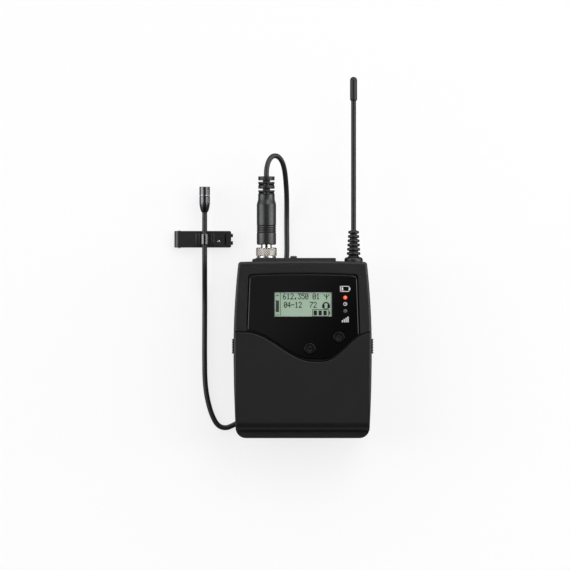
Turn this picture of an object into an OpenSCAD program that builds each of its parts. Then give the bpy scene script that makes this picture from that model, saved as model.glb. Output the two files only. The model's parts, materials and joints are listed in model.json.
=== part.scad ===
// Lavalier microphone with tie clip, cord, locking plug and bodypack transmitter.
// The pack lies on its back: +Z out of the display, +Y towards the antenna tip.
// The origin is the centre of the belt clip's outer flat face. Millimetres.

/* [Case] */
// Widest width of the case
case_w = 62.7; // [61.5:0.1:64]
// Height of the case from its bottom edge to its top shoulder
case_h = 80.5; // [80:0.5:82]
// Depth of the case from back to front
case_d = 24; // [23.5:0.5:26]
// Wall of the case
wall = 1.8; // [1.6:0.1:1.9]
// Height of the widest place of the barrel-shaped sides
widest_y = 40; // [36:1:44]
// How far each side draws in towards the top
draw_top = 2.3; // [1.5:0.1:2.6]
// How far each side draws in towards the bottom
draw_bottom = 1.2; // [0.6:0.1:1.6]
// Corner radius at the top
corner_top = 1.4; // [1:0.1:3]
// Corner radius at the bottom
corner_bottom = 4.6; // [3.6:0.1:5]
// Rise of the top edge from its corners to its middle
top_crown = 0.5; // [0.2:0.1:0.8]
// Rounding of the back edge
back_edge = 3; // [2:0.2:4]
// Rounding of the front edge
front_edge = 1.2; // [0.8:0.1:1.6]
// Depth at which the tub ends and the front shells begin
split_z = 14.1; // [13.8:0.1:14.4]

/* [Cover seam] */
// Height of the seam at both sides
seam_side = 48.3; // [47.5:0.1:49]
// How far the seam dips in the middle
seam_dip = 13.3; // [12:0.1:13.6]
// Left and right ends of the low middle of the seam
seam_low = [5, 9];
// Widths over which the seam rises on the left and on the right
seam_rise = [31.3, 22];
// Gap between the cover and its neighbours
cover_gap = 0.3; // [0.2:0.05:0.4]

/* [Battery cover] */
// Radius of the rounded foot of the cover's front
foot_round = 4.4; // [3.6:0.1:4.6]
// Width of the low strip along the cover's bottom edge
strip_w = 3.2; // [3:0.1:3.3]
// Radius of the hinge pins
hinge_pin_r = 0.8; // [0.6:0.05:0.9]
// Running clearance on a pin
pin_fit = 0.05; // [0.03:0.01:0.08]
// Distance of each hinge ear from the middle
ear_x = 20; // [16:0.5:21]
// Width of a hinge ear
ear_w = 2; // [1.6:0.1:2.6]

/* [Latches] */
// Height of the middle of the latches
latch_y = 41.7; // [41:0.1:42.2]
// Length of a latch button
latch_len = 6.6; // [6:0.1:7]
// Rim of the cover under a latch button
latch_sill = 1.6; // [1.4:0.1:1.8]
// How far a latch stands out of the side
latch_proud = 0.7; // [0.5:0.1:1]
// Thickness of the latch flange inside the cover
latch_flange = 0.9; // [0.7:0.1:1]

/* [Batteries] */
// Radius of an AA cell
cell_r = 7.25; // [7:0.05:7.25]
// Length of an AA cell over its button
cell_len = 50.5; // [49.5:0.1:50.5]
// Height of the lower cell's axis
cell_y = 10; // [9.9:0.05:10.3]
// Distance between the axes of the cells
cell_step = 15; // [14.8:0.1:15.2]

/* [Display panel] */
// Distance of the window's left and right edges from the middle, at its top
window_left = 24.1; // [23.5:0.1:25]
window_right = 24.6; // [24:0.1:25.4]
// How far the window's sides widen downwards
window_flare = 0.9; // [0.4:0.1:1.2]
// Distance of the window's top edge below the case's shoulder
window_drop = 6.7; // [5.5:0.1:7.5]
// Rim of the case between the window and the seam
window_rim = 0.9; // [0.7:0.1:1.2]
// Corner radius of the window
window_corner = 1.8; // [1.2:0.1:2.4]
// Thickness of the window plate
window_t = 1; // [0.8:0.1:1.2]
// Depth of the window plate's face below the case's front
window_sink = 0.2; // [0.1:0.05:0.3]
// Middle of the display to the right of the case's middle
lcd_x = 0.2; // [0:0.1:0.6]
// How far the display sits below the middle of the room over the right button
lcd_low = 0.65; // [0.3:0.05:1]
// Border of the display module on each side, and above and below
lcd_border = [2, 1.5];
// Visible size of the display
lcd_size = [26, 11.2];
// Heights of the two lamps over the display's middle
lamp_rise = [3.1, -3];
// Distance of the lamps from the middle
lamp_x = 19.3; // [18.8:0.1:20]
// Radius of a lamp
lamp_r = 0.9; // [0.7:0.05:1.1]

/* [Buttons] */
// Middle of the left button
button_left_pos = [3.3, 40.6];
// Middle of the right button
button_right_pos = [16.4, 45.8];
// Radius of a button
button_r = 2.5; // [2:0.1:2.6]
// Clearance round a button
button_fit = 0.15; // [0.1:0.05:0.25]
// Travel of a button
button_travel = 0.5; // [0.3:0.1:0.5]

/* [Top edge] */
// Depth of the sockets' axis in the case
socket_z = 12; // [11.8:0.1:12.2]
// Left and right ends of the raised pad
pad_ends = [-22.9, 15.1];
// Rise of the pad over the shoulder
pad_rise = 1.3; // [1:0.1:1.6]
// Depth of the pad from back to front
pad_depth = 14; // [13:0.5:15]
// Distance of the jack from the middle
jack_x = -16.45; // [-17:0.05:-16]
// Radius of the jack's threaded bushing
bushing_r = 3.9; // [3.6:0.1:4]
// Length of the bushing over the pad
bushing_len = 2.5; // [2.2:0.1:2.6]
// Place of the mute switch
switch_x = -4.1; // [-5:0.1:-3]
// Width and depth of the switch nub
switch_size = [3, 3.8];
// Height of the switch nub over the pad
switch_proud = 0.8; // [0.6:0.1:1]
// Travel of the switch
switch_travel = 2.5; // [2:0.1:3]

/* [Antenna] */
// Distance of the antenna from the middle
antenna_x = 23.2; // [22.8:0.1:23.6]
// Radius of the antenna's base flange
antenna_flange_r = 4.2; // [3.8:0.1:4.4]
// Length of the ribbed boot
antenna_boot_len = 14; // [12:0.5:16]
// Ribs round the boot
antenna_ribs = 6; // [4:1:7]
// Radius of the lowest and of the highest rib
antenna_rib_r = [3.1, 2.45];
// Radius of the rod
antenna_rod_r = 1.13; // [0.9:0.01:1.3]
// Length of the rod over the boot
antenna_rod_len = 58.8; // [40:0.2:80]
// Radius of the tip
antenna_tip_r = 1.62; // [1.4:0.01:2]
// Length of the tip
antenna_tip_len = 10.9; // [8:0.1:14]

/* [Plug] */
// Radius of the plug's body
plug_r = 4.4; // [4:0.1:4.6]
// Length of the plug's straight body
plug_len = 18.4; // [16:0.2:22]
// Radius of the plug's neck and of the flexible boot
boot_r = 3.72; // [3.4:0.02:4]
// Length of the flexible boot
boot_len = 8.3; // [8.3:0.1:10]
// Radius of the contact that enters the jack
contact_r = 1.75; // [1.7:0.01:1.75]
// Radius of the bright neck under the plug's body
neck_r = 2.5; // [2.2:0.05:2.8]
// Radius of the lock nut over its knurl
nut_r = 4.75; // [4.6:0.05:5]
// Length of the lock nut
nut_len = 3.8; // [3.6:0.1:4]
// Ridges round the lock nut
nut_ridges = 30; // [20:1:36]

/* [Belt clip] */
// Height of the clip's middle over the case's bottom edge
clip_up = 54; // [53.5:0.5:54.5]
// Width of the clip
clip_w = 19; // [16:0.5:19]
// Thickness of the clip's sheet
clip_t = 1.2; // [1:0.1:1.3]
// Length of the clip's flat tongue
clip_len = 24; // [20:1:24]
// Gap between the tongue and the case
belt_gap = 5.4; // [5.3:0.1:6.5]
// Radius of the clip's barrel
barrel_r = 2; // [1.8:0.05:2]
// Radius of the clip's pin
clip_pin_r = 0.9; // [0.7:0.05:1]
// Thickness of the ears that hold the pin
clip_ear_w = 1.7; // [1.4:0.1:2]

/* [Microphone] */
// Radius of the microphone head
mic_r = 2.4; // [2.1:0.05:2.8]
// Length of the microphone head
mic_len = 11.7; // [10:0.1:14]
// Length of the grille cap
mic_cap_len = 4.4; // [3.6:0.1:5]

/* [Tie clip] */
// Width of the tie clip
tie_w = 7.6; // [7:0.1:8.4]
// Length of the front plate from its right end to its rolled end
tie_len = 26; // [24:0.5:28]
// Thickness of the clip's sheet
tie_t = 0.8; // [0.7:0.05:0.9]
// Height of the closed clip
tie_h = 4.4; // [4.2:0.1:4.8]
// Radius of the clip's pin
tie_pin_r = 0.6; // [0.5:0.05:0.7]
// Length of the cord holder
holder_len = 5; // [4:0.1:6]
// Wall of the cord holder
holder_wall = 0.6; // [0.5:0.05:0.8]

/* [Cord] */
// Diameter of the cord
cord_d = 2.3; // [2.2:0.05:2.3]
// Distance between the turns of the coil, and between its two layers
coil_pitch = 2.72; // [2.71:0.01:2.74]
// Radius of the coil's outermost turn
coil_r = 19.5; // [19.3:0.1:19.6]

/* [Hidden] */
$fn = 48;

cord_r = cord_d / 2;
back_z = clip_t + belt_gap;
cover_z = split_z + cover_gap;
hinge_r = strip_w / 2;
hinge_z = cover_z + hinge_r;
// strip face along the cover's bottom edge
strip_z = case_d - foot_round;
plate_z = case_d - wall - 0.2;
sides_x = [-1, 1];
window_top = case_h - window_drop;
button_rim = 0.6;
lcd_pos = [lcd_x, (window_top + button_right_pos.y + button_r + button_rim) / 2 - lcd_low];
lamp_y = [lcd_pos.y + lamp_rise[0], lcd_pos.y + lamp_rise[1]];
// just outside the widest place of the case
past_side = case_w / 2 + 1.65;

// ---- outline of the case, seen from the front, with y = 0 at its bottom edge
function case_half(y) = case_w / 2 - (y > widest_y
    ? draw_top * pow((y - widest_y) / (case_h - widest_y), 2)
    : draw_bottom * pow((widest_y - y) / widest_y, 2));
function corner(x, y, r, start, steps = 6) =
    [for (i = [0 : steps]) [x + r * cos(start + 90 * i / steps), y + r * sin(start + 90 * i / steps)]];
function mirrored(points) = [for (i = [len(points) - 1 : -1 : 0]) [-points[i].x, points[i].y]];

// outline drawn in by inset: the right half upwards from the bottom corner, then its mirror image
function right_half(inset) = let (
    low_r = max(corner_bottom, inset + 0.2),
    high_r = max(corner_top, inset + 0.2),
    high_y = case_h - top_crown - high_r,
    high_x = case_half(high_y) - high_r)
    concat(
        corner(case_half(low_r) - low_r, low_r, low_r - inset, -90),
        [for (i = [1 : 11]) let (y = low_r + (high_y - low_r) * i / 12) [case_half(y) - inset, y]],
        corner(high_x, high_y, high_r - inset, 0),
        [for (i = [5 : -1 : 1]) let (k = i / 6) [high_x * k, case_h - top_crown * k * k - inset]]);
function case_outline(inset) = concat(right_half(inset), mirrored(right_half(inset)));

// ---- S-shaped seam between the display panel and the battery cover
function seam_fall(t) = t >= 1 ? 0 : (1 + cos(180 * t)) / 2;
function seam_y(x) = seam_side - seam_dip * seam_fall(x < seam_low[0]
    ? (seam_low[0] - x) / seam_rise[0]
    : max(0, (x - seam_low[1]) / seam_rise[1]));
seam_x = [for (i = [-32 : 32]) past_side * i / 32];

module in_case() {
    translate([0, -clip_up, back_z]) children();
}

// a profile drawn in y and z, drawn out along x
module along_x(x0, x1) {
    translate([x0, 0, 0]) rotate([90, 0, 90]) linear_extrude(x1 - x0) children();
}

// a round bar or bore along y
module rod_y(x, z, y0, y1, r) {
    translate([x, y0, z]) rotate([-90, 0, 0]) cylinder(h = y1 - y0, r = r);
}

// a round bar or bore along x
module rod_x(x0, x1, y, z, r) {
    translate([x0, y, z]) rotate([0, 90, 0]) cylinder(h = x1 - x0, r = r);
}

// a turned piece about an axis along y, from a profile of [radius, y]
module turned_y(x, z, profile) {
    translate([x, 0, z]) rotate([-90, 0, 0]) rotate_extrude() polygon(profile);
}

// a closed skin over rings of points, each ring turning left about the way the rings follow each other
module loft(rings) {
    n = len(rings[0]);
    last = len(rings) - 1;
    skin = [for (i = [0 : last - 1]) for (k = [0 : n - 1])
        let (a = i * n + k, b = i * n + (k + 1) % n)
            each [[a, a + n, b], [b, a + n, b + n]]];
    start_cap = [for (k = [1 : n - 2]) [0, k, k + 1]];
    end_cap = [for (k = [1 : n - 2]) [last * n, last * n + k + 1, last * n + k]];
    polyhedron([for (r = rings) each r], concat(start_cap, skin, end_cap));
}

function case_ring(z, inset) = [for (p = case_outline(inset)) [p.x, p.y, z]];

// the whole case with its rounded back and front edges
module case_solid() {
    loft(concat(
        [for (a = [0 : 15 : 90]) case_ring(back_edge * (1 - cos(a)), back_edge * (1 - sin(a)))],
        [for (a = [90 : -15 : 0]) case_ring(case_d - front_edge * (1 - cos(a)), front_edge * (1 - sin(a)))]));
}

module case_inside(z0, z1) {
    translate([0, 0, z0]) linear_extrude(z1 - z0) polygon(case_outline(wall));
}

// everything on the cover's side of the seam, less a gap
module below_seam(z0, z1, gap) {
    edge = [for (x = seam_x) [x, seam_y(x) - gap]];
    translate([0, 0, z0]) linear_extrude(z1 - z0)
        polygon(concat([[-past_side, -5]], edge, [[past_side, -5]]));
}

// a wall that follows the seam on the display's side
module seam_wall(z0, z1) {
    reach = case_w / 2 - wall - 1;
    xs = [for (i = [-26 : 26]) reach * i / 26];
    lower = [for (x = xs) [x, seam_y(x)]];
    upper = [for (i = [len(xs) - 1 : -1 : 0]) [xs[i], seam_y(xs[i]) + wall]];
    translate([0, 0, z0]) linear_extrude(z1 - z0) polygon(concat(lower, upper));
}

// the rounded foot of the cover's front, down to the low strip
module foot_cut(grow, top) {
    y0 = strip_w + foot_round;
    arc = [for (a = [90 : 7.5 : 180]) [y0 + (foot_round - grow) * cos(a), strip_z + (foot_round - grow) * sin(a)]];
    polygon(concat([[-3, top], [y0, top]], arc,
        [[strip_w + grow, strip_z - grow], [-3, strip_z - grow]]));
}

// ---- sockets on the top edge
pad_top = case_h + pad_rise;
pad_floor = case_h - wall + 1;
socket_top = pad_top + 0.7;
nut_y = socket_top + 0.2;
plug_y = nut_y + nut_len + 1.3;
taper_y = plug_y + plug_len;
boot_y = taper_y + 4.4;
cord_y = boot_y + boot_len;
antenna_y = case_h - top_crown - 0.2;
antenna_stub_r = antenna_rod_r + 0.5;

module pad_recess(grow) {
    translate([pad_ends[0] - grow, pad_floor, socket_z - pad_depth / 2 - grow])
        cube([pad_ends[1] - pad_ends[0] + 2 * grow, 5, pad_depth + 2 * grow]);
}

module top_edge_cuts() {
    pad_recess(0.1);
    rod_y(jack_x, socket_z, case_h - 8, case_h + 3, bushing_r + 0.1);
    translate([switch_x - switch_size.x / 2 - 0.2, case_h - 3, socket_z - switch_size.y / 2 - 0.2])
        cube([switch_size.x + switch_travel + 0.4, 6, switch_size.y + 0.4]);
    rod_y(antenna_x, socket_z, antenna_y, case_h + 3, antenna_flange_r + 0.15);
    rod_y(antenna_x, socket_z, case_h - 8, case_h, antenna_stub_r + 0.05);
}

// ---- pieces inside the case
board_z = case_d - 6.6;
board_t = 1.4;
board_gap = 1.2;
board_top = case_h - 9.5;
board_side = case_half(board_top) - wall - board_gap;
post_r = 2.3;
screw_r = 1;
jack_gap = 0.2;
jack_box = [11, 12];
jack_face = case_h - top_crown - wall - 0.1;
post_x = board_side - 2;
post_pos = [[post_x, seam_side + 6.7], [post_x, jack_face - jack_box[1] - post_r - 0.3]];
carrier_x = cell_len / 2 + 1.05;
carrier_y = strip_w + wall + 0.4;
carrier_t = 1.4;
contact_t = 0.5;
contact_w = 9;
contact_z = [socket_z - contact_w / 2, split_z];
charge_x = 6;
charge_z = 7;
charge_r = 1.5;
bay_top = cell_y + cell_step + cell_r + 0.65;
deck_half = case_half(latch_y) - wall - latch_flange - 1.75;

module posts(z0, z1, r) {
    for (s = sides_x)
        for (p = post_pos)
            translate([s * p.x, p.y, z0]) cylinder(h = z1 - z0, r = r);
}

clip_pivot = [clip_len / 2 + 3.5, back_z - barrel_r - 0.4];

module clip_ears() {
    y = clip_pivot[0] + clip_up;
    z = clip_pivot[1] - back_z;
    for (s = sides_x) {
        x0 = s > 0 ? clip_w / 2 - clip_ear_w + 0.7 : -clip_w / 2 - 0.7;
        difference() {
            union() {
                rod_x(x0, x0 + clip_ear_w, y, z, barrel_r);
                translate([x0, y - barrel_r, z]) cube([clip_ear_w, 2 * barrel_r, 1 - z]);
            }
            rod_x(x0 - 1, x0 + clip_ear_w + 1, y, z, clip_pin_r);
        }
    }
}

module hinge_ears() {
    for (s = sides_x) {
        x0 = s * ear_x - ear_w / 2;
        difference() {
            union() {
                rod_x(x0, x0 + ear_w, hinge_r, hinge_z, hinge_r - 0.15);
                translate([x0, 0.2, split_z - 3]) cube([ear_w, 2.2, hinge_z - split_z + 3]);
            }
            rod_x(x0 - 1, x0 + ear_w + 1, hinge_r, hinge_z, hinge_pin_r);
        }
    }
}

// ribs under the cells
module cell_cradles() {
    for (x = [-14, 14])
        along_x(x - 0.8, x + 0.8) difference() {
            translate([wall - 0.5, wall - 0.5]) square([bay_top - wall + 0.2, socket_z - cell_r + 1.2]);
            for (i = [0, 1]) translate([cell_y + i * cell_step, socket_z]) circle(r = cell_r + 0.2);
        }
}

// end walls behind the battery contacts, kept clear of the cover
module cell_carriers() {
    intersection() {
        for (s = sides_x)
            translate([s > 0 ? carrier_x : -carrier_x - carrier_t, carrier_y, wall - 0.5])
                cube([carrier_t, bay_top - carrier_y - 0.3, socket_z + cell_r - wall]);
        linear_extrude(case_d) polygon(case_outline(wall + cover_gap));
    }
}

// boxes that the battery contacts fill, grown on the sides that don't rest on the carriers
module contact_boxes(grow) {
    for (i = [0, 1])
        for (s = sides_x)
            translate([s > 0 ? carrier_x - contact_t - grow : -carrier_x,
                cell_y + i * cell_step - contact_w / 2 - grow, contact_z[0] - grow])
                cube([contact_t + grow, contact_w + 2 * grow, contact_z[1] - contact_z[0] + 2 * grow]);
}

module rear_housing() {
    color("#232425") in_case() {
        difference() {
            union() {
                difference() {
                    intersection() {
                        case_solid();
                        translate([-50, -10, -1]) cube([100, 110, split_z + 1]);
                    }
                    case_inside(wall, split_z + 1);
                }
                posts(wall - 0.5, board_z, post_r);
                cell_cradles();
                cell_carriers();
            }
            contact_boxes(0.1);
            top_edge_cuts();
            posts(-1, board_z + 1, screw_r);
            posts(-1, 1.2, 2.1);
            for (s = sides_x)
                rod_y(s * charge_x, charge_z, -1, wall + 0.5, charge_r);
        }
        clip_ears();
        hinge_ears();
    }
}

// area between the batteries and the seam, moved up by rise
module bay_shape(reach, rise) {
    xs = [for (i = [-18 : 18]) reach * i / 18];
    polygon(concat([[-reach, bay_top]], [for (x = xs) [x, seam_y(x) + rise]], [[reach, bay_top]]));
}

// wall above the batteries, with a raised deck under the cover and a pocket for each latch
module inner_frame() {
    inside = case_half(bay_top) - wall - 0.1;
    color("#3a3b3d") in_case() difference() {
        union() {
            intersection() {
                translate([-inside, bay_top, wall]) cube([2 * inside, wall, split_z - wall]);
                case_inside(0, case_d);
            }
            translate([0, 0, split_z - 1.6]) linear_extrude(1.6) bay_shape(case_w / 2 - wall - 0.5, wall);
            translate([0, 0, split_z - 1]) linear_extrude(plate_z - split_z + 0.4) bay_shape(deck_half, -cover_gap);
        }
        for (s = sides_x)
            translate([s > 0 ? deck_half : -deck_half - 5, latch_y - 2.4, split_z - 3]) cube([5, 4.8, 4]);
    }
}

module window_shape(grow) {
    top_left = [-window_left - grow + window_corner, window_top + grow - window_corner];
    top_right = [window_right + grow - window_corner, window_top + grow - window_corner];
    left = -window_left - window_flare - grow;
    right = window_right + window_flare + grow;
    rise = window_rim - grow;
    bottom = [for (i = [0 : 44]) let (x = left + (right - left) * i / 44) [x, seam_y(x) + rise]];
    polygon(concat(bottom,
        corner(top_right.x, top_right.y, window_corner, 0),
        [[top_right.x / 2, window_top + grow + 0.45], [0, window_top + grow + 0.6],
         [top_left.x / 2, window_top + grow + 0.45]],
        corner(top_left.x, top_left.y, window_corner, 90)));
}

window_z = case_d - window_sink - window_t;

module panel_holes(z0, z1) {
    for (p = [button_left_pos, button_right_pos])
        translate([p.x, p.y, z0]) cylinder(h = z1 - z0, r = button_r + button_fit);
    for (y = lamp_y)
        translate([lamp_x, y, z0]) cylinder(h = z1 - z0, r = lamp_r + 0.1);
    translate([lcd_pos.x - lcd_size.x / 2, lcd_pos.y - lcd_size.y / 2, z0])
        cube([lcd_size.x, lcd_size.y, z1 - z0]);
}

module front_housing() {
    color("#262728") in_case() difference() {
        union() {
            difference() {
                intersection() {
                    case_solid();
                    translate([-50, -10, split_z]) cube([100, 110, 30]);
                }
                case_inside(split_z - 1, plate_z);
            }
            seam_wall(split_z, plate_z + 0.5);
        }
        below_seam(0, case_d + 5, 0);
        translate([0, 0, window_z]) linear_extrude(5) window_shape(0.1);
        panel_holes(plate_z - 1, case_d);
        top_edge_cuts();
    }
}

module top_pad() {
    color("#1d1e1f") in_case() difference() {
        translate([0, 0, socket_z - pad_depth / 2]) linear_extrude(pad_depth)
            polygon([[pad_ends[0], pad_floor], [pad_ends[1], pad_floor], [pad_ends[1], pad_top - 0.3],
                [pad_ends[1] - 0.3, pad_top], [pad_ends[0] + 2, pad_top], [pad_ends[0], pad_top - 0.7]]);
        rod_y(jack_x, socket_z, case_h - 3, pad_top + 1, bushing_r + 0.1);
        translate([switch_x - switch_size.x / 2 - 0.2, case_h - 3, socket_z - switch_size.y / 2 - 0.2])
            cube([switch_size.x + switch_travel + 0.4, 6, switch_size.y + 0.4]);
    }
}

module display_window() {
    color("#0c0d0e") in_case() difference() {
        translate([0, 0, window_z]) linear_extrude(window_t) window_shape(0);
        panel_holes(window_z - 1, case_d);
    }
}

module lcd_panel() {
    size = lcd_size - [0.2, 0.2];
    color("#c3d6b4") in_case() translate([lcd_pos.x, lcd_pos.y, board_z + board_t]) {
        translate([-size.x / 2 - lcd_border.x, -size.y / 2 - lcd_border.y, 0])
            cube([size.x + 2 * lcd_border.x, size.y + 2 * lcd_border.y, plate_z - board_z - board_t - 0.1]);
        translate([-size.x / 2, -size.y / 2, 1]) cube([size.x, size.y, window_z - board_z - board_t - 0.5]);
    }
}

module circuit_board() {
    lower = [for (i = [-9 : 9]) let (x = board_side * i / 9) [x, seam_y(x) + wall + board_gap]];
    color("#1f5a37") in_case() difference() {
        translate([0, 0, board_z]) linear_extrude(board_t)
            polygon(concat(lower, [[board_side, board_top], [-board_side, board_top]]));
        posts(board_z - 1, board_z + 3, screw_r);
    }
}

module lamp(y) {
    base = board_z + board_t;
    in_case() translate([lamp_x, y, base]) {
        cylinder(h = plate_z - base - 0.3, r = lamp_r + 0.5);
        cylinder(h = window_z + window_t - base - 0.1, r = lamp_r);
    }
}

module status_lamp() {
    color("#ff3d12") lamp(lamp_y[0]);
}

module peak_lamp() {
    color("#77797b") lamp(lamp_y[1]);
}

module push_button(pos) {
    foot = board_z + board_t + button_travel + 0.1;
    top = case_d + 0.2;
    color("#1b1c1d") in_case() difference() {
        translate([pos.x, pos.y, foot]) {
            cylinder(h = top - foot, r = button_r);
            translate([0, 0, plate_z - 1 - foot]) cylinder(h = 0.8, r = button_r + button_rim);
        }
        // shallow dish for the fingertip
        translate([pos.x, pos.y, top + 7.2]) sphere(r = 7.4);
    }
}

module button_left() {
    push_button(button_left_pos);
}

module button_right() {
    push_button(button_right_pos);
}

latch_z = cover_z + latch_sill;
latch_h = plate_z - latch_z - 0.6;
latch_fit = 0.3;

module latch_window(side) {
    x0 = case_half(latch_y) - wall - 2;
    translate([side > 0 ? x0 : -x0 - 6, latch_y - latch_len / 2 - latch_fit, latch_z - latch_fit])
        cube([6, latch_len + 2 * latch_fit, latch_h + 2 * latch_fit]);
}

module battery_cover() {
    color("#28292a") in_case() difference() {
        intersection() {
            case_solid();
            below_seam(cover_z, case_d + 1, cover_gap);
        }
        // hollow inside, open to the batteries
        intersection() {
            case_inside(0, plate_z);
            difference() {
                along_x(-40, 40) translate([strip_w, 0]) square([60, plate_z]);
                along_x(-41, 41) foot_cut(wall, 40);
            }
        }
        along_x(-40, 40) foot_cut(0, 40);
        // half-round bottom edge about the hinge axis
        difference() {
            translate([-40, -1, cover_z - 1]) cube([80, strip_w + 1, hinge_r + 1]);
            rod_x(-41, 41, hinge_r, hinge_z, hinge_r);
        }
        for (s = sides_x) {
            translate([s * ear_x - ear_w / 2 - 0.3, -1, cover_z - 1])
                cube([ear_w + 0.6, strip_w + 1.4, hinge_r + 2.8]);
            rod_x(s * ear_x - 4, s * ear_x + 4, hinge_r, hinge_z, hinge_pin_r + pin_fit);
            latch_window(s);
        }
    }
}

module hinge_pins() {
    color("#9a9c9e") in_case()
        for (s = sides_x)
            rod_x(s * ear_x - 3.5, s * ear_x + 3.5, hinge_r, hinge_z, hinge_pin_r);
}

module latch() {
    inner = case_half(latch_y) - wall - 0.35;
    outer = case_half(latch_y) + latch_proud;
    in_case() {
        difference() {
            translate([inner - 0.1, latch_y - latch_len / 2, latch_z])
                cube([outer - inner + 0.1, latch_len, latch_h]);
            // grip grooves
            for (k = [-2 : 2])
                translate([outer - 0.25, latch_y + k * 1.2 - 0.25, latch_z - 1]) cube([1, 0.5, 10]);
        }
        translate([inner - latch_flange, latch_y - latch_len / 2 - 1, latch_z - 0.9])
            cube([latch_flange, latch_len + 2, latch_h + 1.3]);
        translate([inner - latch_flange, latch_y - 1.7, split_z - 1.6])
            cube([latch_flange, 3.4, latch_z - split_z + 1.6]);
    }
}

module latch_right() {
    color("#18191a") latch();
}

module latch_left() {
    color("#18191a") mirror([1, 0, 0]) latch();
}

module battery_cells() {
    color("#b58b3a") in_case()
        for (i = [0, 1])
            mirror([i, 0, 0]) {
                y = cell_y + i * cell_step;
                rod_x(-cell_len / 2, cell_len / 2 - 1.3, y, socket_z, cell_r);
                rod_x(cell_len / 2 - 2, cell_len / 2, y, socket_z, 2.75);
            }
}

module battery_contacts() {
    color("#c9b06a") in_case() contact_boxes(0);
}

module charging_contacts() {
    color("#c9b06a") in_case()
        for (s = sides_x)
            rod_y(s * charge_x, charge_z, 0.2, wall, charge_r);
}

module case_screws() {
    color("#8d9093") in_case() {
        posts(0.2, 1.2, 2);
        posts(1, board_z + board_t, screw_r - 0.05);
    }
}

module mute_switch() {
    inside_y = case_h - wall - 0.2;
    slide = [switch_size.x + 6, 1.6, switch_size.y + 2.8];
    color("#151617") in_case() {
        translate([switch_x - switch_size.x / 2, inside_y - 1, socket_z - switch_size.y / 2])
            cube([switch_size.x, pad_top + switch_proud - inside_y + 1, switch_size.y]);
        translate([switch_x - slide.x / 2, inside_y - slide.y, socket_z - slide.z / 2]) cube(slide);
    }
}

module jack_socket() {
    box_half = board_z - jack_gap - socket_z;
    color("#b9bcbe") in_case() difference() {
        union() {
            translate([jack_x - jack_box[0] / 2, jack_face - jack_box[1], socket_z - box_half])
                cube([jack_box[0], jack_box[1], 2 * box_half]);
            rod_y(jack_x, socket_z, jack_face - 1, pad_top + bushing_len, bushing_r);
            rod_y(jack_x, socket_z, pad_top, socket_top, bushing_r + 0.5);
        }
        rod_y(jack_x, socket_z, jack_face - jack_box[1] + 1, pad_top + bushing_len + 1, contact_r + 0.05);
    }
}

// knurled outline: pointed ridges round the nut
module ridged_circle(r, depth, ridges) {
    polygon([for (i = [0 : 2 * ridges - 1])
        let (a = 180 * i / ridges, q = i % 2 == 0 ? r : r - depth) [q * cos(a), q * sin(a)]]);
}

module lock_nut() {
    bushing_end = pad_top + bushing_len;
    color("#b7a894") in_case() difference() {
        translate([jack_x, nut_y, socket_z]) rotate([-90, 0, 0]) linear_extrude(nut_len)
            ridged_circle(nut_r, 0.3, nut_ridges);
        rod_y(jack_x, socket_z, nut_y - 1, nut_y + nut_len - 0.9, bushing_r + 0.08);
        rod_y(jack_x, socket_z, bushing_end, nut_y + nut_len + 1, neck_r + 0.08);
    }
}

module plug_contact() {
    bushing_end = pad_top + bushing_len;
    color("#c4c7c9") in_case() {
        rod_y(jack_x, socket_z, case_h - 12, bushing_end + 0.2, contact_r);
        rod_y(jack_x, socket_z, bushing_end + 0.1, nut_y + nut_len - 1, bushing_r - 0.3);
        rod_y(jack_x, socket_z, bushing_end + 0.2, plug_y, neck_r);
    }
}

module plug_body() {
    grooves = [for (k = [0 : 2]) plug_y + 5.4 + k * 1.45];
    groove = [0.35, 0.6];
    color("#141516") in_case() turned_y(jack_x, socket_z, [
        [0, plug_y], [plug_r - 0.5, plug_y], [plug_r, plug_y + 0.5],
        for (y = grooves)
            each [[plug_r, y], [plug_r - groove[0], y], [plug_r - groove[0], y + groove[1]], [plug_r, y + groove[1]]],
        [plug_r, taper_y], [boot_r + 0.04, taper_y + 2.4], [boot_r + 0.04, boot_y], [0, boot_y]
    ]);
}

module plug_boot() {
    // slots from the bottom up: every second one is turned by a quarter
    slots = [0.5, 2, 4.2, 5.8];
    slot_w = 0.7;
    core_r = cord_r + 0.5;
    color("#17181a") in_case() difference() {
        turned_y(jack_x, socket_z, [[0, boot_y], [boot_r, boot_y], [boot_r, cord_y - 0.4],
            [boot_r - 0.4, cord_y], [0, cord_y]]);
        for (i = [0 : 3])
            difference() {
                rod_y(jack_x, socket_z, boot_y + slots[i], boot_y + slots[i] + slot_w, boot_r + 1);
                rod_y(jack_x, socket_z, boot_y, cord_y, core_r);
                translate([jack_x, boot_y + 5, socket_z]) rotate([0, i % 2 == 0 ? 90 : 0, 0])
                    cube([2.2, 20, 20], center = true);
            }
    }
}

module antenna_boot() {
    len = antenna_boot_len;
    step = (len - 2.4) / antenna_ribs;
    y0 = case_h + 2.4;
    rib = function (k) antenna_rib_r[0] + (antenna_rib_r[1] - antenna_rib_r[0]) * k / (antenna_ribs - 1);
    color("#161718") in_case() turned_y(antenna_x, socket_z, [
        [0, case_h - wall - 2], [antenna_stub_r, case_h - wall - 2], [antenna_stub_r, antenna_y],
        [antenna_flange_r, antenna_y], [antenna_flange_r, case_h + 0.9],
        [antenna_flange_r - 0.6, case_h + 1.6], [rib(0) - 0.4, y0],
        for (k = [0 : antenna_ribs - 1])
            each [[rib(k) - 0.65, y0 + k * step + 0.1], [rib(k), y0 + k * step + 0.5],
                [rib(k), y0 + k * step + step - 0.6], [rib(k) - 0.65, y0 + k * step + step - 0.2]],
        [antenna_rod_r + 0.4, case_h + len], [0, case_h + len]
    ]);
}

module antenna_rod() {
    color("#1a1b1c") in_case()
        rod_y(antenna_x, socket_z, case_h + antenna_boot_len, case_h + antenna_boot_len + antenna_rod_len, antenna_rod_r);
}

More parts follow.
